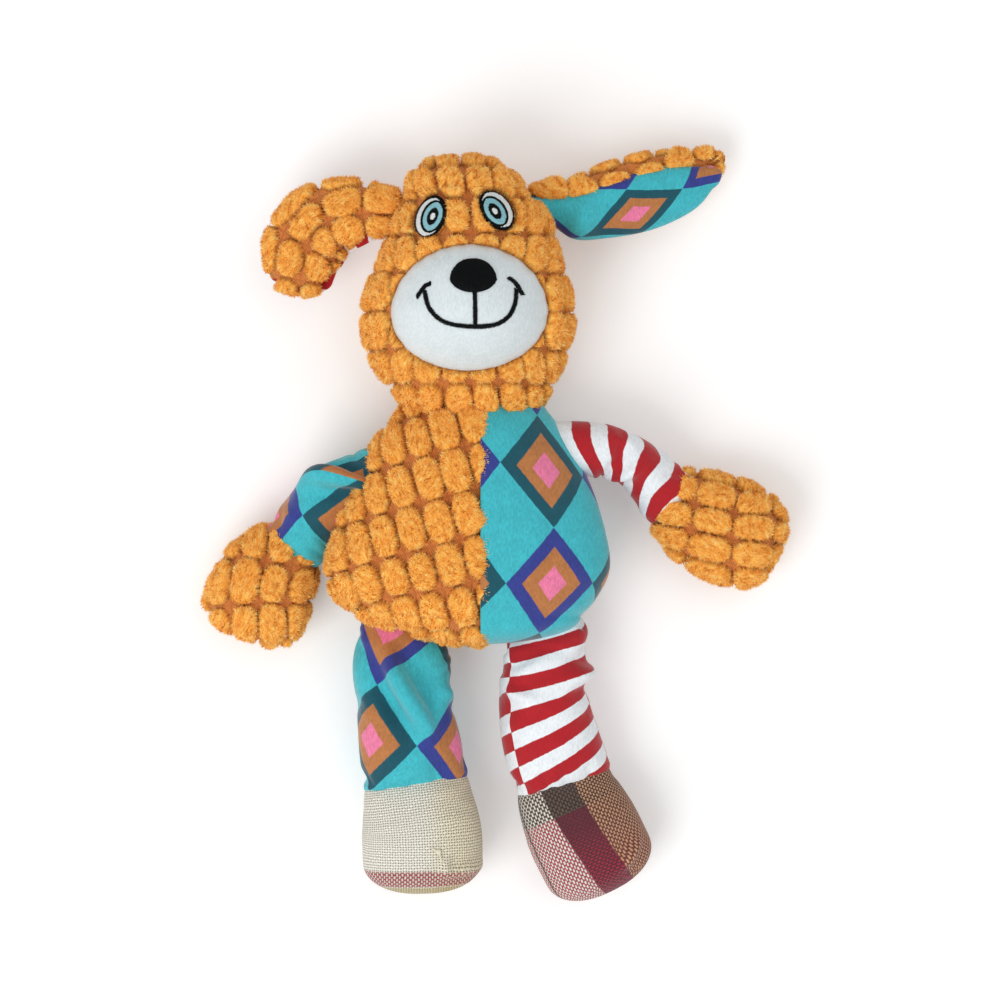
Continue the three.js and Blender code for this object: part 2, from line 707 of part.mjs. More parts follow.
// Builds one limb on a seat of the torso, and returns the group that its mitten or foot turns with
function addLimb(name, sleeve, seat, sizes, limb, end) {
  const group = hingeGroup(toy, `${name}_root`, seat, SEAM_THICKNESS / 2);
  const endHeight = end.fullDepth / 2 - REST_FLAT;
  const shape = shapeCurve(SLEEVE_SHAPE);
  const cuff = (s) => SEAM_THICKNESS + (end.cuffDepth - SEAM_THICKNESS) * smooth(s, 0, 1);
  const form = {
    path: turningPath(sizes, MID_HEIGHT - endHeight),
    width: (s) => limb.width * shape(s, 1),
    depth: (s) => cuff(s) + (limb.depth - cuff(s)) * shape(s, 2),
    rolledRoot: true,
    floor: -MID_HEIGHT,
    sides: LIMB_SIDES,
    steps: LIMB_STEPS,
  };
  addPiece(group, `${name}_sleeve`, sleeve, formSolid(form).subtract(hollowOf(form, PRINT, true)));
  addPiece(group, `${name}_stuffing`, materials.fibre, formSolid(form, -PRINT - GAP));
  const heading = endHeading(sizes);
  const outwards = new THREE.Vector3(Math.cos(heading), Math.sin(heading), 0);
  return hingeGroup(group, `${name}_cuff`, { point: form.path(1), normal: outwards }, end.cuffDepth / 2);
}

// A stuffed bag on a cuff, resting on the surface
function addBag(group, name, material, thickness, yaw, shapeTable, sizes) {
  const shape = shapeCurve(shapeTable);
  const turn = new THREE.Vector3(Math.cos(radians(yaw)), Math.sin(radians(yaw)), 0);
  const start = new THREE.Vector3(1, 0, 0);
  const form = {
    path: (s) => start.clone().lerp(turn, smooth(s, 0, 0.5)).multiplyScalar(s * sizes.length),
    width: (s) => sizes.width * shape(s, 1),
    depth: (s) => sizes.cuffDepth + (sizes.fullDepth - sizes.cuffDepth) * shape(s, 2),
    dome: sizes.dome,
    rolledRoot: true,
    floor: REST_FLAT - sizes.fullDepth / 2,
    sides: LIMB_SIDES,
    steps: LIMB_STEPS,
  };
  addPiece(group, `${name}_cover`, material, formSolid(form).subtract(hollowOf(form, thickness)));
  addPiece(group, `${name}_stuffing`, materials.fibre, formSolid(form, -thickness - GAP));
}

const arm = { width: ARM_WIDTH, depth: ARM_DEPTH };
const leg = { width: LEG_WIDTH, depth: LEG_DEPTH };
const paw = { length: PAW_LENGTH, width: PAW_WIDTH, fullDepth: PAW_DEPTH, cuffDepth: WRIST_DEPTH, dome: PAW_DOME };
const foot = { length: FOOT_LENGTH, width: FOOT_WIDTH, fullDepth: FOOT_DEPTH, cuffDepth: ANKLE_DEPTH, dome: FOOT_DOME };

function addArm(name, side, sleeve, sizes, yaw) {
  const proud = side < 0 ? PLUSH - PRINT : 0;
  const edge = ARM_WIDTH * SLEEVE_SHAPE[0][1] - SEAM_THICKNESS;
  const seat = seatOn(torso, side, proud, 0.01, (p) => p.y, torsoTop - sizes.below, sizes.swing, edge);
  const wrist = addLimb(`${name}_arm`, sleeve, seat, sizes, arm, paw);
  addBag(wrist, `${name}_paw`, materials.plush, PLUSH, yaw, MITTEN_SHAPE, paw);
}

function addLeg(name, side, sleeve, cloth, sizes, yaw) {
  const proud = side < 0 ? PLUSH - PRINT : 0;
  const edge = LEG_WIDTH * SLEEVE_SHAPE[0][1] - SEAM_THICKNESS;
  const seat = seatOn(torso, side, proud, TORSO_REST, (p) => p.x, sizes.across, sizes.swing, edge);
  const ankle = addLimb(`${name}_leg`, sleeve, seat, sizes, leg, foot);
  addBag(ankle, `${name}_foot`, cloth, WEAVE, yaw, FOOT_SHAPE, foot);
}

addArm('right', -1, materials.argyle, RIGHT_ARM, RIGHT_PAW_YAW);
addArm('left', 1, materials.stripe, LEFT_ARM, LEFT_PAW_YAW);
addLeg('right', -1, materials.argyle, materials.weave, RIGHT_LEG, RIGHT_FOOT_YAW);
addLeg('left', 1, materials.stripe, materials.plaid, LEFT_LEG, LEFT_FOOT_YAW);

export default toy;
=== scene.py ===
import json
import math
import bpy
import numpy as np
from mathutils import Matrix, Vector

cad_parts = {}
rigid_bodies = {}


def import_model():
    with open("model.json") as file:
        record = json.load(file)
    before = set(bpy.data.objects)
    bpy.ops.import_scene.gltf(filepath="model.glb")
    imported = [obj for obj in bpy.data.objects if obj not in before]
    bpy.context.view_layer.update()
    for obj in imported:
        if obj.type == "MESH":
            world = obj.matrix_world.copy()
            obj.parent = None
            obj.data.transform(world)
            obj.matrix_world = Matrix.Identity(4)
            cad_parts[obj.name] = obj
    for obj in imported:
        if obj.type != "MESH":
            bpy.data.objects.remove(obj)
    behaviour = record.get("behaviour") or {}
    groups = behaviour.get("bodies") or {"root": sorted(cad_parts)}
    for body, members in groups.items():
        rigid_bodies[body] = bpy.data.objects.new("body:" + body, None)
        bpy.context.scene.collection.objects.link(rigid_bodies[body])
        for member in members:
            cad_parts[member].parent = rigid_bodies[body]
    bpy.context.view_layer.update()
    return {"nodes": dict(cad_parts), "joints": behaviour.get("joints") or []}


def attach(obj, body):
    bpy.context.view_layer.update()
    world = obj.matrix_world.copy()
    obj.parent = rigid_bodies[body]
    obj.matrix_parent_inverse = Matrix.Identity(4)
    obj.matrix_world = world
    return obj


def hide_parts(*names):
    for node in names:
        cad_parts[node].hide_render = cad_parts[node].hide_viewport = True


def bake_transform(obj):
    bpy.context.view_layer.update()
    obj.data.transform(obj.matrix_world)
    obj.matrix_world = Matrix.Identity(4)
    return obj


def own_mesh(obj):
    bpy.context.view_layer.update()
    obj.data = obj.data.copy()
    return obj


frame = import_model()
jointAt = {j["name"]: j["pos_m"] for j in frame["joints"] if "pos_m" in j}
print("frame loaded:", len(frame["nodes"]), "solids")

mm = 0.001
scene = bpy.context.scene
floorGap = 0.3  # cloth keeps this far off the floor, in mm


# trees and colours

def tint(code):
    parts = [int(code[i:i + 2], 16) / 255 for i in (1, 3, 5)]
    return [p / 12.92 if p <= 0.04045 else ((p + 0.055) / 1.055) ** 2.4 for p in parts] + [1.0]


def join(tree, value, socket):
    if isinstance(value, bpy.types.NodeSocket):
        tree.links.new(value, socket)
    elif value is not None:
        socket.default_value = value


def place(tree, kind, inputs=None, **settings):
    node = tree.nodes.new(kind)
    for key, value in settings.items():
        setattr(node, key, value)
    for key, value in (inputs or {}).items():
        join(tree, value, node.inputs[key])
    return node


def calc(tree, operation, *values, clamp=False):
    node = place(tree, "ShaderNodeMath", operation=operation, use_clamp=clamp)
    for socket, value in zip(node.inputs, values):
        join(tree, value, socket)
    return node.outputs[0]


def plus(tree, *values):
    return calc(tree, "ADD", *values)


def minus(tree, *values, clamp=False):
    return calc(tree, "SUBTRACT", *values, clamp=clamp)


def times(tree, *values):
    return calc(tree, "MULTIPLY", *values)


def timesPlus(tree, *values):
    return calc(tree, "MULTIPLY_ADD", *values)


def vecCalc(tree, operation, a, b=None, scale=None):
    node = place(tree, "ShaderNodeVectorMath", operation=operation)
    join(tree, a, node.inputs[0])
    join(tree, b, node.inputs[1])
    if scale is not None:
        join(tree, scale, node.inputs["Scale"])
    return node.outputs["Value"] if operation in ("DOT_PRODUCT", "LENGTH") else node.outputs[0]


def blendColour(tree, share, a, b, mode="MIX"):
    # either colour may be given as its code
    node = place(tree, "ShaderNodeMix", data_type="RGBA", blend_type=mode)
    for key, value in ((0, share), (6, a), (7, b)):
        join(tree, tint(value) if isinstance(value, str) else value, node.inputs[key])
    return node.outputs[2]


def stepUp(tree, value, low, high):
    return place(tree, "ShaderNodeMapRange", {"Value": value, "From Min": low, "From Max": high},
                 interpolation_type="SMOOTHSTEP").outputs[0]


def noiseOf(tree, spot, scale, detail, **more):
    return place(tree, "ShaderNodeTexNoise", dict(Vector=spot, Scale=scale, Detail=detail, **more)).outputs


def shaken(tree, noise, reach):
    # a noise as a small move either way
    return vecCalc(tree, "SCALE", vecCalc(tree, "SUBTRACT", noise, (0.5, 0.5, 0.5)), scale=reach)


def swung(tree, noise, reach, middle):
    # the middle value, raised or lowered by a noise
    return timesPlus(tree, minus(tree, noise, 0.5), reach, middle)


def xyzOf(tree, value):
    return place(tree, "ShaderNodeSeparateXYZ", {0: value}).outputs


def vectorOf(tree, *parts):
    return place(tree, "ShaderNodeCombineXYZ", dict(enumerate(parts))).outputs[0]


def objectSpot(tree):
    return place(tree, "ShaderNodeTexCoord").outputs["Object"]


def newGroup(name, kind, inputs, outputs):
    tree = bpy.data.node_groups.new(name, kind)
    for label, socketKind, value in inputs:
        socket = tree.interface.new_socket(label, in_out="INPUT", socket_type=socketKind)
        if value is not None:
            socket.default_value = value
    for label, socketKind in outputs:
        tree.interface.new_socket(label, in_out="OUTPUT", socket_type=socketKind)
    return tree, tree.nodes.new("NodeGroupInput").outputs, tree.nodes.new("NodeGroupOutput").inputs


def useGroup(tree, group, **inputs):
    node = place(tree, "ShaderNodeGroup", node_tree=group)
    for key, value in inputs.items():
        join(tree, value, node.inputs[key])
    return node.outputs


# shader groups

number, vector, shape = "NodeSocketFloat", "NodeSocketVector", "NodeSocketGeometry"


def makeNap():
    # short brushed pile: a speckled tone and a height for the bump
    tree, given, out = newGroup(
        "brushedNap", "ShaderNodeTree",
        [("Size", number, 0.7), ("Spread", number, 0.12)],
        [("Tone", number), ("Height", number)])
    spot = objectSpot(tree)
    scale = calc(tree, "DIVIDE", 1000.0, given["Size"])
    combed = vecCalc(tree, "MULTIPLY", spot, (1.0, 0.4, 0.7))
    fine = noiseOf(tree, combed, scale, 3.0, Roughness=0.7)[0]
    broad = noiseOf(tree, spot, 160.0, 2.0)[0]
    both = plus(tree, times(tree, fine, 0.75), times(tree, broad, 0.25))
    tone = swung(tree, both, times(tree, given["Spread"], 4.0), 1.0)
    join(tree, tone, out["Tone"])
    join(tree, fine, out["Height"])
    return tree


def makeWeave():
    # plain weave on the piece's own cloth coordinates in mm
    tree, given, out = newGroup(
        "plainWeave", "ShaderNodeTree",
        [("Cloth", vector, None), ("Pitch", number, 1.5), ("Slub", number, 0.25)],
        [("Warp", number), ("Height", number), ("Hole", number)])
    drift = noiseOf(tree, given["Cloth"], 0.35, 2.0)[1]
    shake = shaken(tree, drift, times(tree, given["Slub"], 2.0))
    cell = vecCalc(tree, "SCALE", vecCalc(tree, "ADD", given["Cloth"], shake),
                   scale=calc(tree, "DIVIDE", 1.0, given["Pitch"]))
    parts = xyzOf(tree, cell)[:2]
    ridges = [calc(tree, "ABSOLUTE", calc(tree, "SINE", times(tree, part, math.pi))) for part in parts]
    odd = calc(tree, "MODULO", plus(tree, *(calc(tree, "FLOOR", part) for part in parts)), 2.0)
    over = calc(tree, "ABSOLUTE", odd)
    warp = times(tree, ridges[0], timesPlus(tree, over, 0.45, 0.55))
    weft = times(tree, ridges[1], timesPlus(tree, minus(tree, 1.0, over), 0.45, 0.55))
    join(tree, calc(tree, "GREATER_THAN", warp, weft), out["Warp"])
    top = calc(tree, "MAXIMUM", warp, weft)
    join(tree, top, out["Height"])
    join(tree, minus(tree, 1.0, stepUp(tree, top, 0.3, 0.62)), out["Hole"])
    return tree


nap = makeNap()
weave = makeWeave()


def newMaterial(name, **fixed):
    material = bpy.data.materials.new(name)
    material.use_nodes = True
    tree = material.node_tree
    shader = next(n for n in tree.nodes if n.type == "BSDF_PRINCIPLED")
    for key, value in fixed.items():
        shader.inputs[key.replace("_", " ")].default_value = value
    return material, tree, shader.inputs


def bump(tree, height, strength, distance):
    return place(tree, "ShaderNodeBump", {"Height": height, "Strength": strength,
                                          "Distance": distance * mm}).outputs[0]


def readAttribute(tree, name):
    return place(tree, "ShaderNodeAttribute", attribute_name=name).outputs["Fac"]


def clothCoords(tree):
    return place(tree, "ShaderNodeUVMap", uv_map="cloth").outputs[0]


def printCoords(tree, wobble=0.012):
    # the print's own cells, with edges a little unsteady
    flat = place(tree, "ShaderNodeUVMap", uv_map="print").outputs[0]
    shake = shaken(tree, noiseOf(tree, objectSpot(tree), 420.0, 2.0)[1], wobble)
    return xyzOf(tree, vecCalc(tree, "ADD", flat, shake))


# materials

# foot is painted shade: the channel cloth next to each lump's foot is darkened to it
plushColours = dict(foot="#8f4a12", channel="#c06a26", rib="#ea9450", deep="#be6d1b", low="#f8a53d",
                    mid="#ffc861", high="#ffe998", sheen="#ffd9a0", pileSheen="#ffe0b0")


def plushRamp(tree, value, *steps):
    # from the deep tone to the high one, each step from its start to its end
    look = plushColours["deep"]
    for key, (low, high) in zip(("low", "mid", "high"), steps):
        look = blendColour(tree, stepUp(tree, value, low, high), look, plushColours[key])
    return look


def makePlush():
    c = plushColours
    cloth, tree, into = newMaterial("plush", Roughness=0.95, Sheen_Weight=0.35, Sheen_Roughness=0.45)
    into["Sheen Tint"].default_value = tint(c["sheen"])
    lump, gap, curl, tone, strandA, strandB = (
        readAttribute(tree, n) for n in ("lump", "gap", "curl", "tone", "strandA", "strandB"))
    x, y = xyzOf(tree, objectSpot(tree))[:2]
    slant = times(tree, plus(tree, x, times(tree, y, 0.6)), 6000.0)
    ribs = timesPlus(tree, calc(tree, "SINE", slant), 0.5, 0.5)
    base = blendColour(tree, timesPlus(tree, ribs, 0.6, 0.2), c["channel"], c["rib"])
    # painted shade: close to the lumps the channel cloth turns to the foot colour, so the narrow channels
    # read dark
    base = blendColour(tree, stepUp(tree, gap, 0.0, 0.8), c["foot"], base)
    lock = vectorOf(tree, times(tree, strandA, 0.33), times(tree, strandB, 1.25))
    strands = noiseOf(tree, lock, 1.0, 3.0, Roughness=0.65, Distortion=0.6)[0]
    # the tone follows the curl and strand noise that also raise the pile: partly the pile's own mottle,
    # partly painted shade, lighter on raised locks and darker in the dips between them
    mixed = plus(tree, times(tree, curl, 0.35), times(tree, strands, 0.65))
    pile = plushRamp(tree, mixed, (0.33, 0.47), (0.44, 0.6), (0.56, 0.72))
    worn = blendColour(tree, times(tree, tone, 0.2), pile, c["low"])
    join(tree, blendColour(tree, lump, base, worn), into["Base Color"])
    join(tree, bump(tree, strands, 0.7, 0.7), into["Normal"])

    fibre, tree, into = newMaterial("plushPile", Roughness=0.9, Sheen_Weight=0.25, Sheen_Roughness=0.4)
    into["Sheen Tint"].default_value = tint(c["pileSheen"])
    tip, shade, curl = (readAttribute(tree, n) for n in ("tip", "shade", "curl"))
    # the hairs take the curl of the lump under them: partly a random tone, partly painted shade, lighter
    # where that curl raises the surface
    mixed = swung(tree, shade, 0.3, curl)
    look = plushRamp(tree, mixed, (0.3, 0.46), (0.4, 0.56), (0.5, 0.7))
    root = minus(tree, 0.2, times(tree, tip, 0.2))
    join(tree, blendColour(tree, root, look, c["low"]), into["Base Color"])
    return cloth, fibre


printColours = dict(ground="#3bb7c3", teal="#014d5c", purple="#2e3a8b", tan="#b87641", pink="#ea7ba2")
stripeColours = dict(red="#b00f1c", white="#ecf1f5")
velour = dict(Roughness=0.88, Sheen_Weight=0.45, Sheen_Roughness=0.4)
diamondRims = dict(tan=0.66, pink=0.32)  # shares of a diamond where its inner colours end
beyondShift = dict(diamond=(0.083, 0.263), stripe=0.5)  # cells that the print jumps at a seam or tuck


def finishVelour(tree, into, base, spread):
    tone = useGroup(tree, nap, Size=0.8, Spread=spread)
    shade = vectorOf(tree, *[tone["Tone"]] * 3)
    join(tree, blendColour(tree, 1.0, base, shade, "MULTIPLY"), into["Base Color"])
    join(tree, bump(tree, tone["Height"], 0.45, 0.35), into["Normal"])


def beyondSeam(tree):
    return calc(tree, "GREATER_THAN", readAttribute(tree, "jump"), 0.001)


def makeArgyle():
    # corner-touching diamonds of three colours on a turquoise ground
    c = printColours
    cloth, tree, into = newMaterial("diamondPrint", **velour)
    beyond = beyondSeam(tree)
    offsets, indices = [], []
    for part, shift in zip(printCoords(tree), beyondShift["diamond"]):
        part = timesPlus(tree, beyond, shift, part)
        index = calc(tree, "FLOOR", plus(tree, part, 0.5))
        indices.append(index)
        offsets.append(calc(tree, "ABSOLUTE", minus(tree, part, index)))
    reach = times(tree, plus(tree, *offsets), 2.0)
    odd = calc(tree, "ABSOLUTE", calc(tree, "MODULO", plus(tree, *indices), 2.0))
    look = blendColour(tree, odd, c["teal"], c["purple"])
    for key, edge in diamondRims.items():
        look = blendColour(tree, stepUp(tree, reach, edge + 0.02, edge - 0.02), look, c[key])
    look = blendColour(tree, stepUp(tree, reach, 0.985, 1.015), look, c["ground"])
    finishVelour(tree, into, look, 0.3)
    return cloth


def makeStripe():
    c = stripeColours
    cloth, tree, into = newMaterial("stripePrint", **velour)
    along = printCoords(tree, 0.05)[1]
    part = calc(tree, "FRACT", timesPlus(tree, beyondSeam(tree), beyondShift["stripe"], along))
    fold = calc(tree, "ABSOLUTE", minus(tree, part, 0.5))
    look = blendColour(tree, stepUp(tree, fold, 0.245, 0.275), c["red"], c["white"])
    finishVelour(tree, into, look, 0.17)
    return cloth


def toeCoords(tree, coords, start):
    # past the toe seam the weave lies flat over the front and doesn't run to a point
    along = xyzOf(tree, coords)[1]
    spot = xyzOf(tree, objectSpot(tree))
    flat = vectorOf(tree, times(tree, spot[0], 1000.0), times(tree, spot[2], 1000.0))
    change = vecCalc(tree, "SCALE", vecCalc(tree, "SUBTRACT", flat, coords),
                     scale=calc(tree, "GREATER_THAN", along, start))
    return vecCalc(tree, "ADD", coords, change)


def finishWeave(tree, into, threads, yarn, holes, holeColour):
    # the holes between the threads take a dark colour: painted shade in the gaps of the weave
    join(tree, blendColour(tree, holes, yarn, holeColour), into["Base Color"])
    join(tree, bump(tree, threads["Height"], 0.9, 0.5), into["Normal"])


coarse = dict(Roughness=0.92, Sheen_Weight=0.15)
weaveColours = dict(yarn="#fdfbf0", weft="#f1ecdf", warmSide="#f3e6bd", hole="#6f644a", band="#a50f3a",
                    undyed="#f5efe6", slub="#cfc6ae", toe="#cdbd92")
weaveBand = (50.4, 59.2)  # where the red band starts and ends, in mm along the cloth


def makeCreamWeave():
    c = weaveColours
    low, high = weaveBand
    cloth, tree, into = newMaterial("creamWeave", **coarse)
    coords = clothCoords(tree)
    across, along = xyzOf(tree, coords)[:2]
    threads = useGroup(tree, weave, Cloth=toeCoords(tree, coords, high), Pitch=1.12, Slub=0.35)
    yarn = blendColour(tree, threads["Warp"], c["yarn"], c["weft"])
    band = times(tree, stepUp(tree, along, low, low + 0.8), stepUp(tree, along, high, high - 0.8))
    dyed = blendColour(tree, timesPlus(tree, threads["Warp"], -0.7, 1.0), c["undyed"], c["band"])
    yarn = blendColour(tree, band, yarn, dyed)
    yarn = blendColour(tree, stepUp(tree, along, high - 0.4, high + 0.4), yarn, c["toe"])
    slub = noiseOf(tree, coords, 0.8, 3.0)[0]
    yarn = blendColour(tree, times(tree, slub, 0.2), yarn, c["slub"])
    # towards larger across the yarn is multiplied by a warm tan at half strength, a darker and yellower side
    # of the foot
    yarn = blendColour(tree, times(tree, stepUp(tree, across, -2.0, 14.0), 0.5), yarn, c["warmSide"], "MULTIPLY")
    finishWeave(tree, into, threads, yarn, threads["Hole"], c["hole"])
    return cloth


plaidColours = dict(burgundy="#561126", crimson="#b01f4a", cream="#f3ebdd", tan="#d6a27c", dark="#1c1412",
                    hole="#3a1f1c", wine="#6c1a30", cherry="#a31d40", brown="#42241b", dull="#6a5f50",
                    slub="#8a6a5c")
plaidBands = dict(left=-8.0, right=6.0, top=25.8, blur=0.4, lean=0.13)  # mm on the cloth


def makePlaidWeave():
    # wide bands both ways: cream, burgundy and tan along the foot, black and burgundy across it
    c = plaidColours
    cloth, tree, into = newMaterial("plaidWeave", **coarse)

    def beyond(value, band, way=1):
        blur = plaidBands["blur"] * way
        return stepUp(tree, value, plaidBands[band] - blur, plaidBands[band] + blur)

    coords = clothCoords(tree)
    threads = useGroup(tree, weave, Cloth=toeCoords(tree, coords, 60.0), Pitch=1.1, Slub=0.35)
    across, along = xyzOf(tree, coords)[:2]
    leant = minus(tree, across, times(tree, minus(tree, along, 30.0), plaidBands["lean"]))
    left, right = beyond(leant, "left"), beyond(leant, "right")
    warp = blendColour(tree, left, c["cream"], c["burgundy"])
    warp = blendColour(tree, right, warp, c["tan"])
    weft = blendColour(tree, stepUp(tree, along, 30.0, 52.0), c["wine"], c["cherry"])
    weft = blendColour(tree, left, c["crimson"], weft)
    weft = blendColour(tree, times(tree, right, 0.7), weft, c["brown"])
    weft = blendColour(tree, beyond(along, "top"), c["dark"], weft)
    topBand = times(tree, beyond(along, "top", -1), times(tree, left, beyond(leant, "right", -1)))
    warp = blendColour(tree, times(tree, topBand, 0.8), warp, c["dull"])
    yarn = blendColour(tree, timesPlus(tree, threads["Warp"], 0.9, 0.05), weft, warp)
    slub = noiseOf(tree, coords, 0.7, 3.0)[0]
    yarn = blendColour(tree, times(tree, slub, 0.12), yarn, c["slub"])
    seam = times(tree, stepUp(tree, across, -25.2, -24.6), stepUp(tree, across, -23.4, -24.0))
    yarn = blendColour(tree, times(tree, seam, 0.85), yarn, c["dark"])
    finishWeave(tree, into, threads, yarn, times(tree, threads["Hole"], 0.7), c["hole"])
    return cloth


def makeVelboa(dark, light):
    cloth, tree, into = newMaterial("whiteVelboa", Roughness=0.9, Sheen_Weight=0.3, Sheen_Roughness=0.35)
    tone = useGroup(tree, nap, Size=0.8, Spread=0.12)
    join(tree, blendColour(tree, stepUp(tree, tone["Tone"], 0.85, 1.15), dark, light), into["Base Color"])
    join(tree, bump(tree, tone["Height"], 0.6, 0.4), into["Normal"])
    return cloth


grains = dict(
    thread=dict(scale=1600.0, detail=2.0, twist=0.0, raised=(0.3, 0.15), fixed=dict(Specular_IOR_Level=0.08)),
    fill=dict(scale=500.0, detail=5.0, twist=1.5, raised=(0.8, 1.0), fixed=dict(Sheen_Weight=0.5)),
    moulded=dict(scale=90.0, detail=4.0, twist=0.0, raised=(0.1, 0.2), fixed=dict()))


def makeGrained(name, kind, rough, dark, light):
    # two tones mixed by a noise that also raises the surface
    g = grains[kind]
    material, tree, into = newMaterial(name, Roughness=rough, **g["fixed"])
    grain = noiseOf(tree, objectSpot(tree), g["scale"], g["detail"], Distortion=g["twist"])[0]
    join(tree, blendColour(tree, grain, dark, light), into["Base Color"])
    if kind == "moulded":
        join(tree, timesPlus(tree, grain, 0.25, rough - 0.1), into["Roughness"])
    join(tree, bump(tree, grain, *g["raised"]), into["Normal"])
    return material


plush, plushPile = makePlush()
diamondPrint = makeArgyle()
stripePrint = makeStripe()
creamWeave = makeCreamWeave()
plaidWeave = makePlaidWeave()
velboa = makeVelboa("#cfd9dc", "#e9f1f3")
blackThread = makeGrained("blackThread", "thread", 0.62, "#020303", "#0d1112")
creamThread = makeGrained("creamThread", "thread", 0.7, "#d8d0b4", "#f4eedb")
whiteThread = makeGrained("whiteThread", "thread", 0.6, "#d7dcdc", "#f2f4f3")
blueThread = makeGrained("blueThread", "thread", 0.6, "#7fb9c6", "#a9d8e0")
fibreFill = makeGrained("fibreFill", "fill", 1.0, "#cfcfca", "#f4f4f0")
bulbVinyl = makeGrained("bulbVinyl", "moulded", 0.45, "#d9d2bd", "#efe9d8")
reedFilm = makeGrained("reedFilm", "moulded", 0.3, "#c9a25c", "#e2c68a")
whistlePlastic = makeGrained("whistlePlastic", "moulded", 0.35, "#c9ccce", "#e6e8e9")
slotCloth = dict(argyle_print=diamondPrint, stripe_print=stripePrint, plain_weave=creamWeave,
                 plaid_weave=plaidWeave)
print("materials ready")


# geometry node trees

def newShapeTree(name, **settings):
    # a tree that takes a mesh, some numbers and a material, and gives a mesh
    numbers = [(key, "NodeSocketInt" if isinstance(value, int) else number, value)
               for key, value in settings.items()]
    return newGroup(name, "GeometryNodeTree", [("Geometry", shape, None), *numbers,
                                               ("Material", "NodeSocketMaterial", None)],
                    [("Geometry", shape)])


def endTree(tree, given, out, result):
    whole = place(tree, "GeometryNodeRealizeInstances", {"Geometry": result}).outputs[0]
    painted = place(tree, "GeometryNodeSetMaterial", {"Geometry": whole, "Material": given["Material"]})
    join(tree, painted.outputs[0], out["Geometry"])
    return tree


def readNamed(tree, name, kind="FLOAT"):
    return place(tree, "GeometryNodeInputNamedAttribute", {"Name": name}, data_type=kind).outputs[0]


def store(tree, target, name, value, domain="POINT"):
    return place(tree, "GeometryNodeStoreNamedAttribute", {"Geometry": target, "Name": name, "Value": value},
                 data_type="FLOAT", domain=domain).outputs[0]


def meshSpot(tree):
    return place(tree, "GeometryNodeInputPosition").outputs[0]


def shifted(tree, target, way, reach):
    # the mesh with each point moved along a direction
    return place(tree, "GeometryNodeSetPosition", {
        "Geometry": target, "Offset": vecCalc(tree, "SCALE", way, scale=reach)}).outputs[0]


def makeBubbles():
    # raises rows of soft lumps on a cloth, by its cloth coordinates in mm
    tree, given, out = newShapeTree(
        "bubblePlush", Across=12.0, Along=18.0, Shear=0.0, Height=5.5, Channel=1.6, Taper=0.3, Square=3.4,
        Jitter=0.1, Curl=0.35, Seed=1.0)
    spot = meshSpot(tree)
    u, v, allowed = (readNamed(tree, n) for n in ("clothU", "clothV", "lumpShare"))
    column = calc(tree, "FLOOR", plus(tree, calc(tree, "DIVIDE", u, given["Across"]), 0.5))
    x = minus(tree, u, times(tree, column, given["Across"]))
    slide = plus(tree, calc(tree, "DIVIDE", v, given["Along"]), times(tree, column, given["Shear"]))
    row = calc(tree, "FLOOR", plus(tree, slide, 0.5))
    y = times(tree, minus(tree, slide, row), given["Along"])
    cell = vectorOf(tree, column, row, given["Seed"])
    dice = place(tree, "ShaderNodeTexWhiteNoise", {"Vector": cell}, noise_dimensions="3D").outputs["Color"]
    r, g, b = xyzOf(tree, dice)
    swing = times(tree, given["Jitter"], given["Across"])
    x, y = swung(tree, r, swing, x), swung(tree, g, swing, y)
    size = swung(tree, b, 0.06, 0.5)
    halfX, halfY = (times(tree, minus(tree, given[n], given["Channel"]), size) for n in ("Across", "Along"))
    fromMid = calc(tree, "DIVIDE", calc(tree, "ABSOLUTE", y), halfY)
    slim = minus(tree, 1.0, times(tree, given["Taper"], calc(tree, "POWER", fromMid, 3.0)))
    fromAxis = calc(tree, "DIVIDE", calc(tree, "ABSOLUTE", x), times(tree, halfX, slim))
    ragged = noiseOf(tree, spot, 330.0, 1.0)[0]
    ring = plus(tree, calc(tree, "POWER", fromAxis, given["Square"]),
                calc(tree, "POWER", fromMid, plus(tree, given["Square"], 0.8)))
    ring = swung(tree, ragged, 0.3, ring)
    inside = minus(tree, 1.0, ring, clamp=True)
    gap = minus(tree, ring, 1.0, clamp=True)
    rise = times(tree, calc(tree, "POWER", inside, 0.42), allowed)
    wanted = stepUp(tree, allowed, 0.15, 0.5)
    mask = times(tree, stepUp(tree, inside, 0.0, 0.16), wanted)
    broad = noiseOf(tree, spot, 150.0, 1.0)[0]
    crown = times(tree, stepUp(tree, inside, 0.15, 0.5), wanted)
    # strands lie along one direction on each lump
    comb = times(tree, minus(tree, r, 0.5), 1.9)
    cosine, sine = calc(tree, "COSINE", comb), calc(tree, "SINE", comb)
    strandA = plus(tree, times(tree, y, cosine), times(tree, x, sine))
    strandB = minus(tree, times(tree, x, cosine), times(tree, y, sine))
    strandA = timesPlus(tree, g, 400.0, strandA)
    strandB = timesPlus(tree, b, 400.0, strandB)
    lock = vectorOf(tree, times(tree, strandA, 0.3), times(tree, strandB, 0.75))
    curl = noiseOf(tree, lock, 1.0, 2.0, Roughness=0.6, Distortion=0.5)[0]
    tall = times(tree, swung(tree, g, 0.22, 1.0), given["Height"])
    lift = times(tree, rise, tall)
    lift = swung(tree, broad, times(tree, rise, 1.8), lift)
    lift = swung(tree, curl, times(tree, times(tree, mask, given["Curl"]), 4.0), lift)
    normal = place(tree, "GeometryNodeInputNormal").outputs[0]
    moved = given["Geometry"]
    for name, value in (("lump", mask), ("gap", gap), ("crown", crown), ("curl", curl), ("tone", b),
                        ("strandA", strandA), ("strandB", strandB)):
        moved = store(tree, moved, name, value)
    return endTree(tree, given, out, shifted(tree, moved, normal, times(tree, lift, mm)))


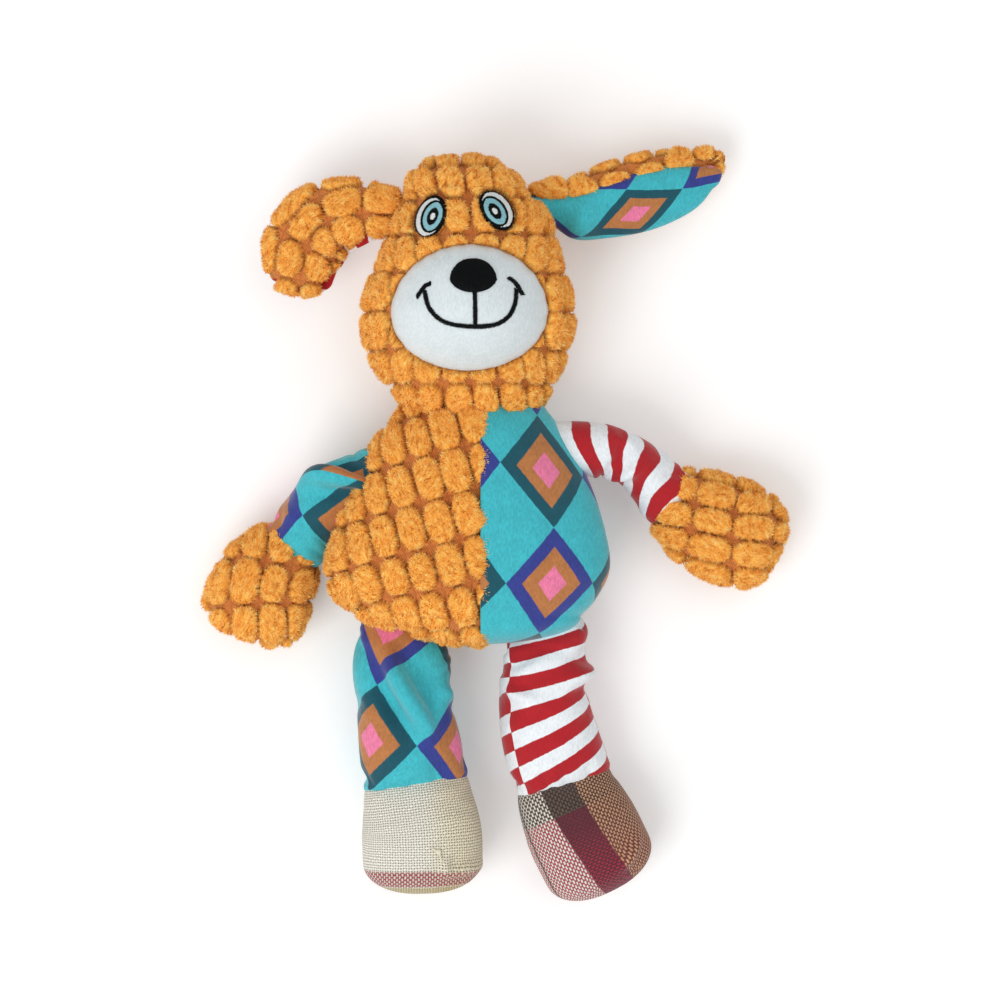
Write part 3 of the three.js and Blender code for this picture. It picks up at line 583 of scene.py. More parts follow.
def makePile():
    # short leaning hairs on the raised lumps
    tree, given, out = newShapeTree("pileHairs", Density=2.0, Length=1.8, Width=0.3, Lean=0.8, Seed=1)
    often = times(tree, times(tree, given["Density"], 1e6), readNamed(tree, "crown"))
    spread = place(tree, "GeometryNodeDistributePointsOnFaces", {
        "Mesh": given["Geometry"], "Density": often, "Seed": given["Seed"]}, distribute_method="RANDOM")
    hair = place(tree, "GeometryNodeMeshCone", {
        "Vertices": 3, "Radius Top": 0.0, "Radius Bottom": times(tree, given["Width"], 0.5 * mm),
        "Depth": times(tree, given["Length"], mm)}, fill_type="NONE").outputs[0]
    high = xyzOf(tree, meshSpot(tree))[2]
    hair = store(tree, hair, "tip", calc(tree, "DIVIDE", high, times(tree, given["Length"], mm)))
    lean = place(tree, "FunctionNodeRandomValue", {"Seed": given["Seed"]}, data_type="FLOAT_VECTOR")
    join(tree, (-1.0, -1.0, -1.0), lean.inputs[0])
    join(tree, (1.0, 1.0, 1.0), lean.inputs[1])
    comb = shaken(tree, noiseOf(tree, meshSpot(tree), 260.0, 1.0)[1], 4.5)
    loose = vecCalc(tree, "ADD", comb, vecCalc(tree, "SCALE", lean.outputs[0], scale=0.5))
    heading = vecCalc(tree, "ADD", spread.outputs["Normal"],
                      vecCalc(tree, "SCALE", loose, scale=given["Lean"]))
    turn = place(tree, "FunctionNodeAlignRotationToVector", {"Vector": heading}, axis="Z").outputs[0]
    size = place(tree, "FunctionNodeRandomValue", {"Seed": 7}, data_type="FLOAT")
    join(tree, 0.6, size.inputs[2])
    join(tree, 1.25, size.inputs[3])
    tufts = place(tree, "GeometryNodeInstanceOnPoints", {
        "Points": spread.outputs["Points"], "Instance": hair, "Rotation": turn,
        "Scale": size.outputs[1]}).outputs[0]
    shade = place(tree, "FunctionNodeRandomValue", {"Seed": 11}, data_type="FLOAT")
    return endTree(tree, given, out, store(tree, tufts, "shade", shade.outputs[1], "INSTANCE"))


def makeStitches():
    # one thread for each point, laid along the point's own direction
    tree, given, out = newShapeTree("threadStitches", Width=0.5)
    thread = place(tree, "GeometryNodeMeshUVSphere", {"Segments": 6, "Rings": 5, "Radius": 0.5}).outputs[0]
    thread = place(tree, "GeometryNodeSetShadeSmooth", {"Geometry": thread}).outputs[0]
    lie = place(tree, "FunctionNodeAlignRotationToVector",
                {"Vector": readNamed(tree, "heading", "FLOAT_VECTOR")}, axis="Z").outputs[0]
    width = times(tree, given["Width"], mm)
    size = vectorOf(tree, width, width, times(tree, readNamed(tree, "reach"), mm))
    points = place(tree, "GeometryNodeMeshToPoints", {"Mesh": given["Geometry"]}).outputs[0]
    rows = place(tree, "GeometryNodeInstanceOnPoints", {
        "Points": points, "Instance": thread, "Rotation": lie, "Scale": size}).outputs[0]
    return endTree(tree, given, out, rows)


def makeFluff():
    # loose fibre: a lumpy skin
    tree, given, out = newShapeTree("fibreFluff", Size=9.0, Depth=1.6)
    bulges = noiseOf(tree, meshSpot(tree), calc(tree, "DIVIDE", 1000.0, given["Size"]), 3.0)[0]
    push = times(tree, minus(tree, bulges, 0.62), times(tree, given["Depth"], 2 * mm))
    normal = place(tree, "GeometryNodeInputNormal").outputs[0]
    return endTree(tree, given, out, shifted(tree, given["Geometry"], normal, push))


bubbles = makeBubbles()
pileHairs = makePile()
threadStitches = makeStitches()
fluff = makeFluff()


def bakedMesh(obj):
    return bpy.data.meshes.new_from_object(obj.evaluated_get(bpy.context.evaluated_depsgraph_get()))


def grown(source, tree, name, **inputs):
    # the tree's result on an object, as a plain mesh object
    modifier = source.modifiers.new(tree.name, "NODES")
    modifier.node_group = tree
    for item in tree.interface.items_tree:
        if item.in_out == "INPUT" and item.name in inputs:
            modifier[item.identifier] = inputs[item.name]
    mesh = bakedMesh(source)
    source.modifiers.remove(modifier)
    result = bpy.data.objects.new(name, mesh)
    scene.collection.objects.link(result)
    return result


def applied(obj, modifier):
    # the modifier's result becomes the object's own mesh
    mesh = bakedMesh(obj)
    obj.modifiers.remove(modifier)
    old, obj.data = obj.data, mesh
    bpy.data.meshes.remove(old)


def drop(obj):
    mesh = obj.data
    bpy.data.objects.remove(obj)
    bpy.data.meshes.remove(mesh)


# cloth forms, worked in mm

def smoothRun(rows, count):
    rows = np.array(rows, float)
    rows = np.vstack([2 * rows[0] - rows[1], rows, 2 * rows[-1] - rows[-2]])
    spots = np.linspace(0, len(rows) - 3, count)
    first = np.minimum(spots.astype(int), len(rows) - 4)
    part = (spots - first)[:, None]
    a, b, c, d = (rows[first + k] for k in range(4))
    return 0.5 * (2 * b + (c - a) * part + (2 * a - 5 * b + 4 * c - d) * part ** 2
                  + (3 * b - a - 3 * c + d) * part ** 3)


def unit(vectors):
    return vectors / np.maximum(np.linalg.norm(vectors, axis=-1, keepdims=True), 1e-9)


def turned(a, b, degrees):
    turn = math.radians(degrees)
    return a * math.cos(turn) - b * math.sin(turn), a * math.sin(turn) + b * math.cos(turn)


def walkOf(line):
    # how far along the line each of its points lies
    return np.concatenate([[0], np.cumsum(np.linalg.norm(np.diff(line, axis=0), axis=1))])


def spaced(fine, walk, spots):
    return np.stack([np.interp(spots, walk, column) for column in fine.T], axis=1)


def evenRun(rows, step):
    # the run again, at even steps along its middle line
    fine = smoothRun(rows, 400)
    walk = walkOf(fine[:, :3])
    return spaced(fine, walk, np.linspace(0, walk[-1], max(3, int(walk[-1] / step) + 1)))


def rings(rows, step, startRound=0.0, endRound=0.0):
    # centre, half across, half deep, roll and heading of each ring, rounded ends included
    run = evenRun(rows, step)
    if run.shape[1] == 5:
        run = np.hstack([run, np.zeros((len(run), 1))])
    ahead = unit(np.gradient(run[:, :3], axis=0))
    parts, headings = [run], [ahead]
    for reach, end, sign in ((startRound, 0, -1), (endRound, -1, 1)):
        if reach <= 0:
            continue
        width = (run[end, 3] + run[end, 4]) / 2
        count = max(5, int((reach + width) * 0.8 / step))
        bow = np.linspace(0, math.pi / 2, count + 1)[1:]
        cap = np.repeat(run[end][None, :], count, axis=0)
        cap[:, :3] += ahead[end] * sign * reach * np.sin(bow)[:, None]
        cap[:, 3:5] *= np.maximum(np.cos(bow) ** 0.85, 0.012)[:, None]
        facing = np.repeat(ahead[end][None, :], count, axis=0)
        if sign < 0:
            parts.insert(0, cap[::-1])
            headings.insert(0, facing)
        else:
            parts.append(cap)
            headings.append(facing)
    return np.vstack(parts), np.vstack(headings)


def sectionPoints(run, ahead, angles, power=2.0):
    up = np.array([0.0, 0.0, 1.0])
    side = unit(np.cross(up, ahead))
    top = np.cross(ahead, side)
    roll = np.radians(run[:, 5])[:, None]
    side, top = side * np.cos(roll) + top * np.sin(roll), top * np.cos(roll) - side * np.sin(roll)
    c, s = np.cos(angles), np.sin(angles)
    c = np.sign(c) * np.abs(c) ** (2 / power)
    s = np.sign(s) * np.abs(s) ** (2 / power)
    if angles.ndim == 1:
        c, s = c[None, :], s[None, :]
    return (run[:, None, :3] + side[:, None, :] * (run[:, 3][:, None] * c)[..., None]
            + top[:, None, :] * (run[:, 4][:, None] * s)[..., None])


def gridNormals(grid, closed=True):
    if closed:
        around = np.roll(grid, -1, axis=1) - np.roll(grid, 1, axis=1)
    else:
        around = np.gradient(grid, axis=1)
    along = np.gradient(grid, axis=0)
    return unit(np.cross(along, around))


def clothMap(grid, topColumn, closed=True):
    # arc lengths in mm: across from the top line, and along it
    wide = np.concatenate([grid, grid[:, :1]], axis=1) if closed else grid
    hop = np.linalg.norm(np.diff(wide, axis=1), axis=2)
    u = np.concatenate([np.zeros((len(grid), 1)), np.cumsum(hop, axis=1)], axis=1)
    u = u[:, topColumn][:, None] - u
    v = walkOf(grid[:, topColumn])
    return u, np.repeat(v[:, None], wide.shape[1], axis=1)


def tube(run, ahead, step, power):
    # the closed cloth round a run, and its maps from the top line
    around = int(np.pi * (run[:, 3].max() + run[:, 4].max()) / step)
    grid = sectionPoints(run, ahead, turnAngles(around), power)
    return (grid, *clothMap(grid, around // 2))


def middleOf(run):
    return tuple(run[len(run) // 2, :3])


def pieceFrom(name, grid, u, v, closed=True, printAt=None, material=None):
    # a mesh object from a grid of points in mm, with its cloth and print maps
    count, sides = grid.shape[:2]
    points = grid.reshape(-1, 3) * mm
    spans = sides if closed else sides - 1
    k, j = np.meshgrid(np.arange(count - 1), np.arange(spans), indexing="ij")
    nextJ = (j + 1) % sides
    faces = np.stack([k * sides + j, (k + 1) * sides + j, (k + 1) * sides + nextJ, k * sides + nextJ],
                     axis=-1).reshape(-1, 4).tolist()
    uv = np.stack([u, v], axis=-1)
    corners = np.stack([uv[k, j], uv[k + 1, j], uv[k + 1, j + 1], uv[k, j + 1]], axis=2).reshape(-1, 2)
    if closed:
        faces += [list(range(sides)), list(range(count * sides - 1, (count - 1) * sides - 1, -1))]
        corners = np.vstack([corners, uv[0, :sides], uv[-1, :sides][::-1]])
    mesh = bpy.data.meshes.new(name)
    mesh.from_pydata(points.tolist(), [], faces)
    mesh.uv_layers.new(name="cloth").data.foreach_set("uv", corners.astype(np.float32).ravel())
    if printAt:
        cells = printCells(corners, printAt)
        mesh.uv_layers.new(name="print").data.foreach_set("uv", cells.astype(np.float32).ravel())
    mesh.polygons.foreach_set("use_smooth", [True] * len(mesh.polygons))
    if material:
        mesh.materials.append(material)
    obj = bpy.data.objects.new(name, mesh)
    scene.collection.objects.link(obj)
    setPoints(obj, "clothU", u[:, :sides])
    setPoints(obj, "clothV", v[:, :sides])
    if printAt and "seams" in printAt:
        low, high = printAt["seams"]
        setPoints(obj, "jump", np.maximum(low - u, u - high)[:, :sides])
    if printAt and "tuck" in printAt:
        setPoints(obj, "jump", -foldAcross(u, v, printAt["tuck"])[1][:, :sides])
    return obj


def printCells(corners, printAt):
    # where each corner lies in the print, counted in cells
    du, dv = corners[:, 0] - printAt["at"][0], corners[:, 1] - printAt["at"][1]
    if "drift" in printAt:
        reach, span = printAt["drift"]
        dv = dv + reach * np.sin(2 * math.pi * corners[:, 0] / span + corners[:, 1] / 24)
    if "bow" in printAt:
        # the print swings back and levels out lower down
        b = printAt["bow"]
        swing = b["sway"] * dv - b["pull"] * np.maximum(0, dv - b["start"]) ** 2
        du, dv = du - swing, dv - (b["tilt"] - b["level"] * dv) * du
    return np.stack(turned(du, dv, printAt["turn"]), axis=1) / np.array(printAt["cell"])


def setPoints(obj, label, values):
    spot = obj.data.attributes.new(label, "FLOAT", "POINT")
    spot.data.foreach_set("value", np.asarray(values, np.float32).ravel())


def readPoints(obj):
    flat = np.empty(len(obj.data.vertices) * 3, np.float32)
    obj.data.vertices.foreach_get("co", flat)
    return flat.reshape(-1, 3)


def writePoints(obj, points):
    obj.data.vertices.foreach_set("co", np.asarray(points, np.float32).ravel())
    obj.data.update()


def settle(obj):
    # what would go under the floor lies on it
    points = readPoints(obj)
    points[:, 2] = np.maximum(points[:, 2], floorGap * mm)
    writePoints(obj, points)


def turnAngles(sides):
    return np.radians(-90 + 360 * np.arange(sides) / sides)


def foldAcross(u, v, f):
    # how far along a fold's line and how far off it the cloth lies
    return turned(u - f["at"][0], v - f["at"][1], -f["turn"])


def fold(grid, u, v, folds):
    # creases and ridges: where, which way, how long, how wide, how deep
    normals = gridNormals(grid)
    lift = np.zeros(grid.shape[:2])
    for f in folds:
        along, across = foldAcross(u[:, :grid.shape[1]], v[:, :grid.shape[1]], f)
        bell = np.exp(-(along / f["long"]) ** 2)
        near, far = f.get("ridges", (0.55, 0.4))
        beside, broad = 1.9 * f["wide"], 1.3 * f["wide"]
        lift += f["deep"] * bell * (np.exp(-(across / f["wide"]) ** 2)
                                    - near * np.exp(-((across - beside) / broad) ** 2)
                                    - far * np.exp(-((across + beside) / broad) ** 2))
    return grid + normals * lift[..., None]


def wrinkles(seed, count, spanU, spanV, deep):
    dice = np.random.default_rng(seed)
    return [dict(at=(dice.uniform(-spanU, spanU), dice.uniform(*spanV)), turn=dice.uniform(-35, 35),
                 long=dice.uniform(5, 10), wide=dice.uniform(1.2, 2.2), deep=-dice.uniform(0.4, 1.0) * deep)
            for k in range(count)]


clothRun = dict(quality=6, mass=0.3, air_damping=2.0, tension_stiffness=12, compression_stiffness=12,
                shear_stiffness=4, bending_stiffness=0.25, vertex_group_mass="held", use_pressure=True)


def swell(obj, held, slack, push, frames=22, cap=4.0):
    # a short cloth run: the held points stay, the rest is cut too large and softly blown up
    scaleUp = 10
    rest = readPoints(obj)
    writePoints(obj, rest * scaleUp)
    group = obj.vertex_groups.new(name="held")
    group.add([int(k) for k in np.flatnonzero(held)], 1.0, "REPLACE")
    run = obj.modifiers.new("clothRun", "CLOTH")
    for key, value in dict(clothRun, uniform_pressure_force=push, shrink_min=-slack).items():
        setattr(run.settings, key, value)
    run.settings.effector_weights.gravity = 0
    run.collision_settings.use_collision = False
    run.point_cache.frame_start, run.point_cache.frame_end = 1, frames
    for k in range(1, frames + 1):
        scene.frame_set(k)
    seen = obj.evaluated_get(bpy.context.evaluated_depsgraph_get()).to_mesh()
    flat = np.empty(len(seen.vertices) * 3, np.float32)
    seen.vertices.foreach_get("co", flat)
    move = flat.reshape(-1, 3) / scaleUp - rest
    obj.modifiers.remove(run)
    obj.vertex_groups.clear()
    far = np.linalg.norm(move, axis=1, keepdims=True)
    move *= np.minimum(1.0, cap * mm / np.maximum(far, 1e-9))
    writePoints(obj, rest + move)
    scene.frame_set(1)
    print(obj.name, "cloth run, moved up to", round(float(far.max()) / mm, 1), "mm")


def refine(obj):
    finer = obj.modifiers.new("finer", "SUBSURF")
    finer.levels = finer.render_levels = 1
    applied(obj, finer)


# dressing calls

def crossing(parent, joint, toward, back, fore):
    # where a cover bends over from its parent's body to its own
    spot = Vector(jointAt[joint])
    way = Vector(toward).normalized()
    return dict(parent=parent, start=tuple(spot - way * back * mm), end=tuple(spot + way * fore * mm))


def dress(obj, body, nodes=(), across=None):
    if nodes:
        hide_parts(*nodes)
    if across:
        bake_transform(obj)
    else:
        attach(obj, body)


hairSizes = dict(Density=2.2, Length=1.25, Width=0.36, Lean=0.85)
plushLumps = dict(Across=12.0, Along=18.2, Height=4.0, Channel=0.5, Taper=0.5, Square=5.6, Jitter=0.06,
                  Curl=0.4)
plushStep, clothStep = 0.75, 1.7  # mm between the points of a cover


def plushPieces(base, name, lumps, seed):
    # the lumpy cover and its hairs from a smooth base cloth
    cover = grown(base, bubbles, name, Material=plush, Seed=float(seed), **lumps)
    settle(cover)
    hairs = grown(cover, pileHairs, name + "_pile", Material=plushPile, Seed=seed, **hairSizes)
    settle(hairs)
    drop(base)
    return cover, hairs


# torso

torso = dict(
    rows=[(4.0, 74, 31, 25, 15.5), (3.5, 62, 31, 35, 24), (3.2, 46, 31.2, 45.2, 28.5),
          (2.5, 24, 31.6, 54.5, 30.4), (1.2, 2, 31.6, 59.7, 30.6), (-0.2, -12, 31, 55, 29.5),
          (0.5, -19, 30.5, 48, 27)],
    bottomRound=12, seamX=6.7, inset=3.2, tuck=1.6, wall=1.2, inner=(0, 20, 31), printStep=1.3,
    corner=dict(lift=4.4, fromX=-4, overX=28, fromY=2, overY=24),
    lumps=dict(plushLumps, Shear=0.0), lumpShift=(7.0, 4.0), lumpTurn=15,
    diamonds=dict(at=(28.5, 35.5), turn=5, cell=(40.5, 47),
                  bow=dict(sway=0.03, pull=0.0041, start=18, tilt=0.237, level=0.00304)))


def turnCloth(u, v, degrees, shift):
    # the lump rows turned on the cloth
    u, v = turned(u, v, degrees)
    return u + shift[0], v + shift[1]


backSeam = dict(share=0.575, bare=0.3, blur=1.6)


def sewnBack(u, half):
    # behind the sides the cloth is a second panel, laid out from the back's own middle line
    seam = np.abs(u) - backSeam["share"] * half
    laid = np.where(seam > 0, u - np.sign(u) * half, u)
    return laid, np.clip((np.abs(seam) - backSeam["bare"]) / backSeam["blur"], 0, 1)


def torsoHalf(sign, step, inset):
    # one half from the seam round the side and back to the seam, edges tucked in
    run, ahead = rings(torso["rows"], step, endRound=torso["bottomRound"] - inset)
    ahead[:] = (0, -1, 0)
    run = run.copy()
    run[:, 3:5] = np.maximum(run[:, 3:5] - inset, 0.3)
    seam = np.clip((torso["seamX"] - run[:, 0]) / run[:, 3], -0.999, 0.999)
    seamAngle = np.arccos(seam)[:, None]
    widest = run[:, 3].max() + run[:, 4].max()
    share = np.linspace(0, 1, int(widest * 1.6 / step))[None, :]
    if sign > 0:
        angles = seamAngle - 2 * seamAngle * share
    else:
        angles = seamAngle + (2 * math.pi - 2 * seamAngle) * share
    return sectionPoints(run, ahead, angles)


def tuckEdges(grid, normals, tuck):
    # the seam allowance: edges turn inwards
    first = [grid[:, 0] - normals[:, 0] * tuck * k for k in (1.0, 0.35)]
    last = [grid[:, -1] - normals[:, -1] * tuck * k for k in (0.35, 1.0)]
    return np.concatenate([np.stack(first, axis=1), grid, np.stack(last, axis=1)], axis=1)


def thicken(obj, thickness):
    solid = obj.modifiers.new("wall", "SOLIDIFY")
    solid.thickness = thickness * mm
    solid.offset = -1
    applied(obj, solid)


def edged(values):
    # the outer columns again, for the two tucked ones on each side
    return np.pad(values, ((0, 0), (2, 2)), mode="edge")


def buildTorso():
    grid = torsoHalf(1, torso["printStep"], 0.0)[:, ::-1]
    normals = -gridNormals(grid, closed=False)
    u, v = clothMap(grid, grid.shape[1] - 1, closed=False)
    full = tuckEdges(grid, normals if normals[20, 40, 0] > 0 else -normals, torso["tuck"])
    printHalf = pieceFrom("torso_print_cloth", full, edged(u), edged(v), closed=False,
                          printAt=torso["diamonds"], material=diamondPrint)
    settle(printHalf)

    grid = torsoHalf(-1, plushStep, torso["inset"])
    c = torso["corner"]
    raised = (np.clip((c["fromX"] - grid[..., 0]) / c["overX"], 0, 1)
              * np.clip((c["fromY"] - grid[..., 1]) / c["overY"], 0, 1))
    grid[..., 1] += c["lift"] * raised
    normals = gridNormals(grid, closed=False)
    if normals[20, grid.shape[1] // 2, 0] > 0:
        normals = -normals
    u, v = clothMap(grid, 0, closed=False)
    u, share = sewnBack(u, np.ptp(u, axis=1)[:, None])
    full = tuckEdges(grid, normals, torso["tuck"])
    u, v = turnCloth(edged(u), edged(v), torso["lumpTurn"], torso["lumpShift"])
    base = pieceFrom("torso_plush_base", full, u, v, closed=False)
    setPoints(base, "lumpShare", np.pad(share, ((0, 0), (2, 2))))
    return printHalf, base


def faceOutward(obj, inner):
    # turns the faces round where most of them point at the inner point
    mesh = obj.data
    count = len(mesh.polygons)
    centres, normals = np.empty(count * 3, np.float32), np.empty(count * 3, np.float32)
    mesh.polygons.foreach_get("center", centres)
    mesh.polygons.foreach_get("normal", normals)
    outward = (centres.reshape(-1, 3) - np.array(inner) * mm) * normals.reshape(-1, 3)
    if outward.sum() < 0:
        mesh.flip_normals()


printHalf, plushBase = buildTorso()
for half in (printHalf, plushBase):
    faceOutward(half, torso["inner"])
thicken(printHalf, torso["wall"])
torsoPlush, torsoPile = plushPieces(plushBase, "torso_plush_cloth", torso["lumps"], 3)
print("torso made")


def pressed(obj, nodes=()):
    if nodes:
        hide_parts(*nodes)
    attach(obj, "torso")
    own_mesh(obj)


pressed(printHalf, ["torso_print_cover"])
pressed(torsoPlush, ["torso_plush_cover"])
pressed(torsoPile)


# head

head = dict(
    rows=[(0.5, 158, 37, 22, 22), (3, 146, 37, 29, 27.5), (2.5, 130, 37, 34.5, 30.5),
          (1.3, 113, 36.5, 40.2, 31.5), (1.2, 103, 36, 41.2, 31), (0.9, 92, 35, 38.5, 28.5),
          (2.2, 80, 33, 32, 24), (3.2, 70, 31.5, 25.5, 19), (3.5, 62, 31, 22, 16)],
    crownRound=12.5, step=0.8, lumps=dict(plushLumps, Across=11.3, Along=15.6, Shear=0.0),
    lumpShift=(5.5, 6.0))
muzzle = dict(centre=(2.1, 107.1), halfWidth=32.5, up=27.6, down=24.0, tilt=2, proud=13.0, step=0.9,
              pucker=0.45, rim=3.5, edge=160)
eyes = dict(
    right=dict(at=(-13.9, 146.6), tilt=-20, long=9.0, wide=6.2, inward=(0.9, -0.2), whiteShift=(-0.35, -0.3)),
    left=dict(at=(13.3, 148.9), tilt=33, long=9.0, wide=6.2, inward=(-0.7, -0.5), whiteShift=(0.3, 0.3)))


def headRun():
    run, ahead = rings(head["rows"], head["step"], startRound=head["crownRound"])
    ahead[:] = (0, -1, 0)
    return run, ahead


def headFront(x, y):
    # height of the head's front under a point
    run = headRun()[0]
    run = run[np.argsort(run[:, 1])]
    cx, cz, half, deep = (np.interp(y, run[:, 1], run[:, k]) for k in (0, 2, 3, 4))
    return cz + deep * np.sqrt(np.maximum(0.0, 1 - np.clip((x - cx) / half, -1, 1) ** 2))


def muzzleReach(x, y):
    # 0 at the muzzle's middle, 1 at its seam
    a, b = turned(x - muzzle["centre"][0], y - muzzle["centre"][1], -muzzle["tilt"])
    a = a / muzzle["halfWidth"]
    b = np.where(b > 0, b / muzzle["up"], b / muzzle["down"])
    return np.sqrt(a ** 2 + b ** 2)


def muzzleFront(x, y):
    reach = np.clip(muzzleReach(x, y), 0, 1)
    bow = np.arctan2(y - muzzle["centre"][1], x - muzzle["centre"][0])
    pucker = muzzle["pucker"] * np.sin(23 * bow + 2 * np.sin(3 * bow)) * reach ** 7
    return headFront(x, y) + 1.0 + pucker + muzzle["proud"] * (1 - reach ** 2.4) ** 0.75


def eyeReach(eye, x, y):
    across, along = turned(x - eye["at"][0], y - eye["at"][1], -eye["tilt"])
    return np.sqrt((across / eye["wide"]) ** 2 + (along / eye["long"]) ** 2)


def buildHead():
    run, ahead = headRun()
    grid, u, v = tube(run, ahead, head["step"], 2.1)
    u, groove = sewnBack(u, np.ptp(u, axis=1)[:, None] / 2)
    base = pieceFrom("head_base", grid, u + head["lumpShift"][0], v + head["lumpShift"][1])
    x, y, z = grid[..., 0], grid[..., 1], grid[..., 2]
    share = np.clip((muzzleReach(x, y) - 0.98) / 0.06, 0, 1)
    for eye in eyes.values():
        share = np.minimum(share, np.clip((eyeReach(eye, x, y) - 1.0) / 0.2, 0, 1))
    share = np.where(z > 30, share, 1.0)
    setPoints(base, "lumpShare", share * groove[:, :grid.shape[1]])
    faceOutward(base, (1, 110, 36))
    return base


headPlush, headPile = plushPieces(buildHead(), "head_plush_cloth", head["lumps"], 5)
neckCross = crossing("torso", "neck_nod", (0, 1, 0), 8, 10)
dress(headPlush, "head", ["head_cover"], neckCross)
dress(headPile, "head", (), neckCross)


def domePatch(name, centre, outline, heightAt, step, material, rim):
    # a soft patch: rings shrinking to the middle, with a rim that turns down into the cloth
    count = max(5, int(np.linalg.norm(outline - np.array(centre), axis=1).mean() / step))
    shares = np.concatenate([[1.0, 1.0], np.linspace(1.0, 0.02, count)])
    grid = np.empty((len(shares), len(outline), 3))
    for k, share in enumerate(shares):
        flat = np.array(centre) + (outline - np.array(centre)) * share
        grid[k, :, :2] = flat
        grid[k, :, 2] = heightAt(flat[:, 0], flat[:, 1])
    grid[0, :, 2] -= rim
    grid[1, :, 2] -= rim * 0.4
    u = np.concatenate([grid[..., 0], grid[:, :1, 0]], axis=1)
    v = np.concatenate([grid[..., 1], grid[:, :1, 1]], axis=1)
    obj = pieceFrom(name, grid, u, v, material=material)
    faceOutward(obj, (centre[0], centre[1], float(grid[..., 2].min()) - 10))
    return obj


def ovalOutline(centre, wide, up, down, tilt, count):
    bow = np.linspace(0, 2 * math.pi, count, endpoint=False)
    a, b = wide * np.cos(bow), np.sin(bow)
    b = np.where(b > 0, up * b, down * b)
    a, b = turned(a, b, tilt)
    return np.stack([centre[0] + a, centre[1] + b], axis=1)


muzzleOutline = ovalOutline(muzzle["centre"], muzzle["halfWidth"], muzzle["up"], muzzle["down"],
                            muzzle["tilt"], muzzle["edge"])
muzzlePatch = domePatch("muzzle_velboa", muzzle["centre"], muzzleOutline, muzzleFront,
                        muzzle["step"], velboa, muzzle["rim"])
dress(muzzlePatch, "head", ["muzzle_cover"], None)
print("head and muzzle made")


# embroidery

def stitchPoints(name, segments, heightAt, lift, width, material):
    # each segment is two points on the face in mm; threads follow the cloth under them
    segments = np.array(segments, float)
    ends = np.concatenate([segments, heightAt(segments[..., 0], segments[..., 1])[..., None] + lift],
                          axis=2) * mm
    middle, span = ends.mean(axis=1), ends[:, 1] - ends[:, 0]
    mesh = bpy.data.meshes.new(name + "_points")
    mesh.from_pydata(middle.tolist(), [], [])
    heading = mesh.attributes.new("heading", "FLOAT_VECTOR", "POINT")
    heading.data.foreach_set("vector", unit(span).astype(np.float32).ravel())
    source = bpy.data.objects.new(name + "_points", mesh)
    setPoints(source, "reach", np.linalg.norm(span, axis=1) / mm)
    scene.collection.objects.link(source)
    result = grown(source, threadStitches, name, Width=width, Material=material)
    drop(source)
    return result


def satinLine(points, width, pitch, slant, seed):
    # threads laid across a line, one beside the other
    dice = np.random.default_rng(seed)
    fine = smoothRun(points, 300)
    walk = walkOf(fine)
    spots = np.arange(0, walk[-1], pitch)
    line = spaced(fine, walk, spots)
    way = unit(np.gradient(line, axis=0))
    over = np.stack([-way[:, 1], way[:, 0]], axis=1)
    reach = width / 2 * dice.uniform(0.85, 1.15, (len(spots), 1))
    lean = over * reach + way * width * slant * dice.uniform(0.7, 1.3, (len(spots), 1))
    return np.stack([line - lean, line + lean], axis=1)


def fillRegion(inside, box, pitch, length, turn, seed):
    # rows of threads that fill a shape
    dice = np.random.default_rng(seed)
    turn = math.radians(turn)
    way, over = np.array([math.cos(turn), math.sin(turn)]), np.array([-math.sin(turn), math.cos(turn)])
    middle = np.array([(box[0] + box[2]) / 2, (box[1] + box[3]) / 2])
    span = math.hypot(box[2] - box[0], box[3] - box[1]) / 2
    spots = np.arange(-span, span, 0.15)
    overlap, beyond = 0.3, 0.2  # mm that two threads share, and that they pass the edge
    segments = []
    for across in np.arange(-span, span, pitch):
        line = middle + over * across + way * spots[:, None]
        kept = inside(line[:, 0], line[:, 1])
        edges = np.flatnonzero(np.diff(np.concatenate([[0], kept.astype(int), [0]])))
        for first, last in zip(edges[::2], edges[1::2]):
            low, high = spots[first], spots[last - 1]
            cut = low - dice.uniform(0, length * 0.6)
            while cut < high - overlap:
                stitch = length * dice.uniform(0.8, 1.1)
                ends = [max(cut, low) - beyond, min(cut + stitch, high) + beyond]
                segments.append([middle + over * across + way * end for end in ends])
                cut += stitch - overlap
    return segments


nose = dict(centre=(3.8, 120.2), halfWidth=9.6, up=8.2, down=6.0, pitch=0.42, thread=0.55, stitch=4.6,
            turn=78, box=(-11, -8, 11, 12), reach=14, edge=64, seed=4, padLift=0.35, padStep=0.9, rim=2.0,
            lift=0.5)
mouth = dict(
    line=2.0, pitch=0.34, thread=0.5, slant=0.3, lift=0.35,
    smile=[(-16.2, 115.3), (-14.6, 108.8), (-10.4, 103.7), (-4.6, 101.2), (4.6, 100.3), (12.8, 101.2),
           (18.1, 104.5), (20.9, 110), (21.5, 116.2)],
    drop=[(4.4, 115.5), (4.6, 108.5), (4.6, 100.9)],
    rightTick=[(-19.4, 112.7), (-16.2, 116.9), (-13.6, 118.2)],
    leftTick=[(18.3, 120.7), (21.3, 118.3), (24.1, 113.7)])


def noseInside(x, y):
    # round above, wide and nearly flat below
    dx, dy = (x - nose["centre"][0]) / nose["halfWidth"], y - nose["centre"][1]
    low = np.clip(-dy / nose["down"], 0, None)
    high = np.clip(dy / nose["up"], 0, None)
    wide = np.maximum(1 - 0.22 * low ** 1.5 - 0.1 * high, 0.05)
    return (np.abs(dx) / wide) ** 2.3 + low ** 2.6 + high ** 2.0 < 1


def noseHeight(x, y):
    dx, dy = (x - nose["centre"][0]) / nose["halfWidth"], (y - nose["centre"][1] - 2) / nose["up"]
    return muzzleFront(x, y) + 1.6 * np.clip(1 - dx ** 2 - dy ** 2, 0, 1) ** 0.5


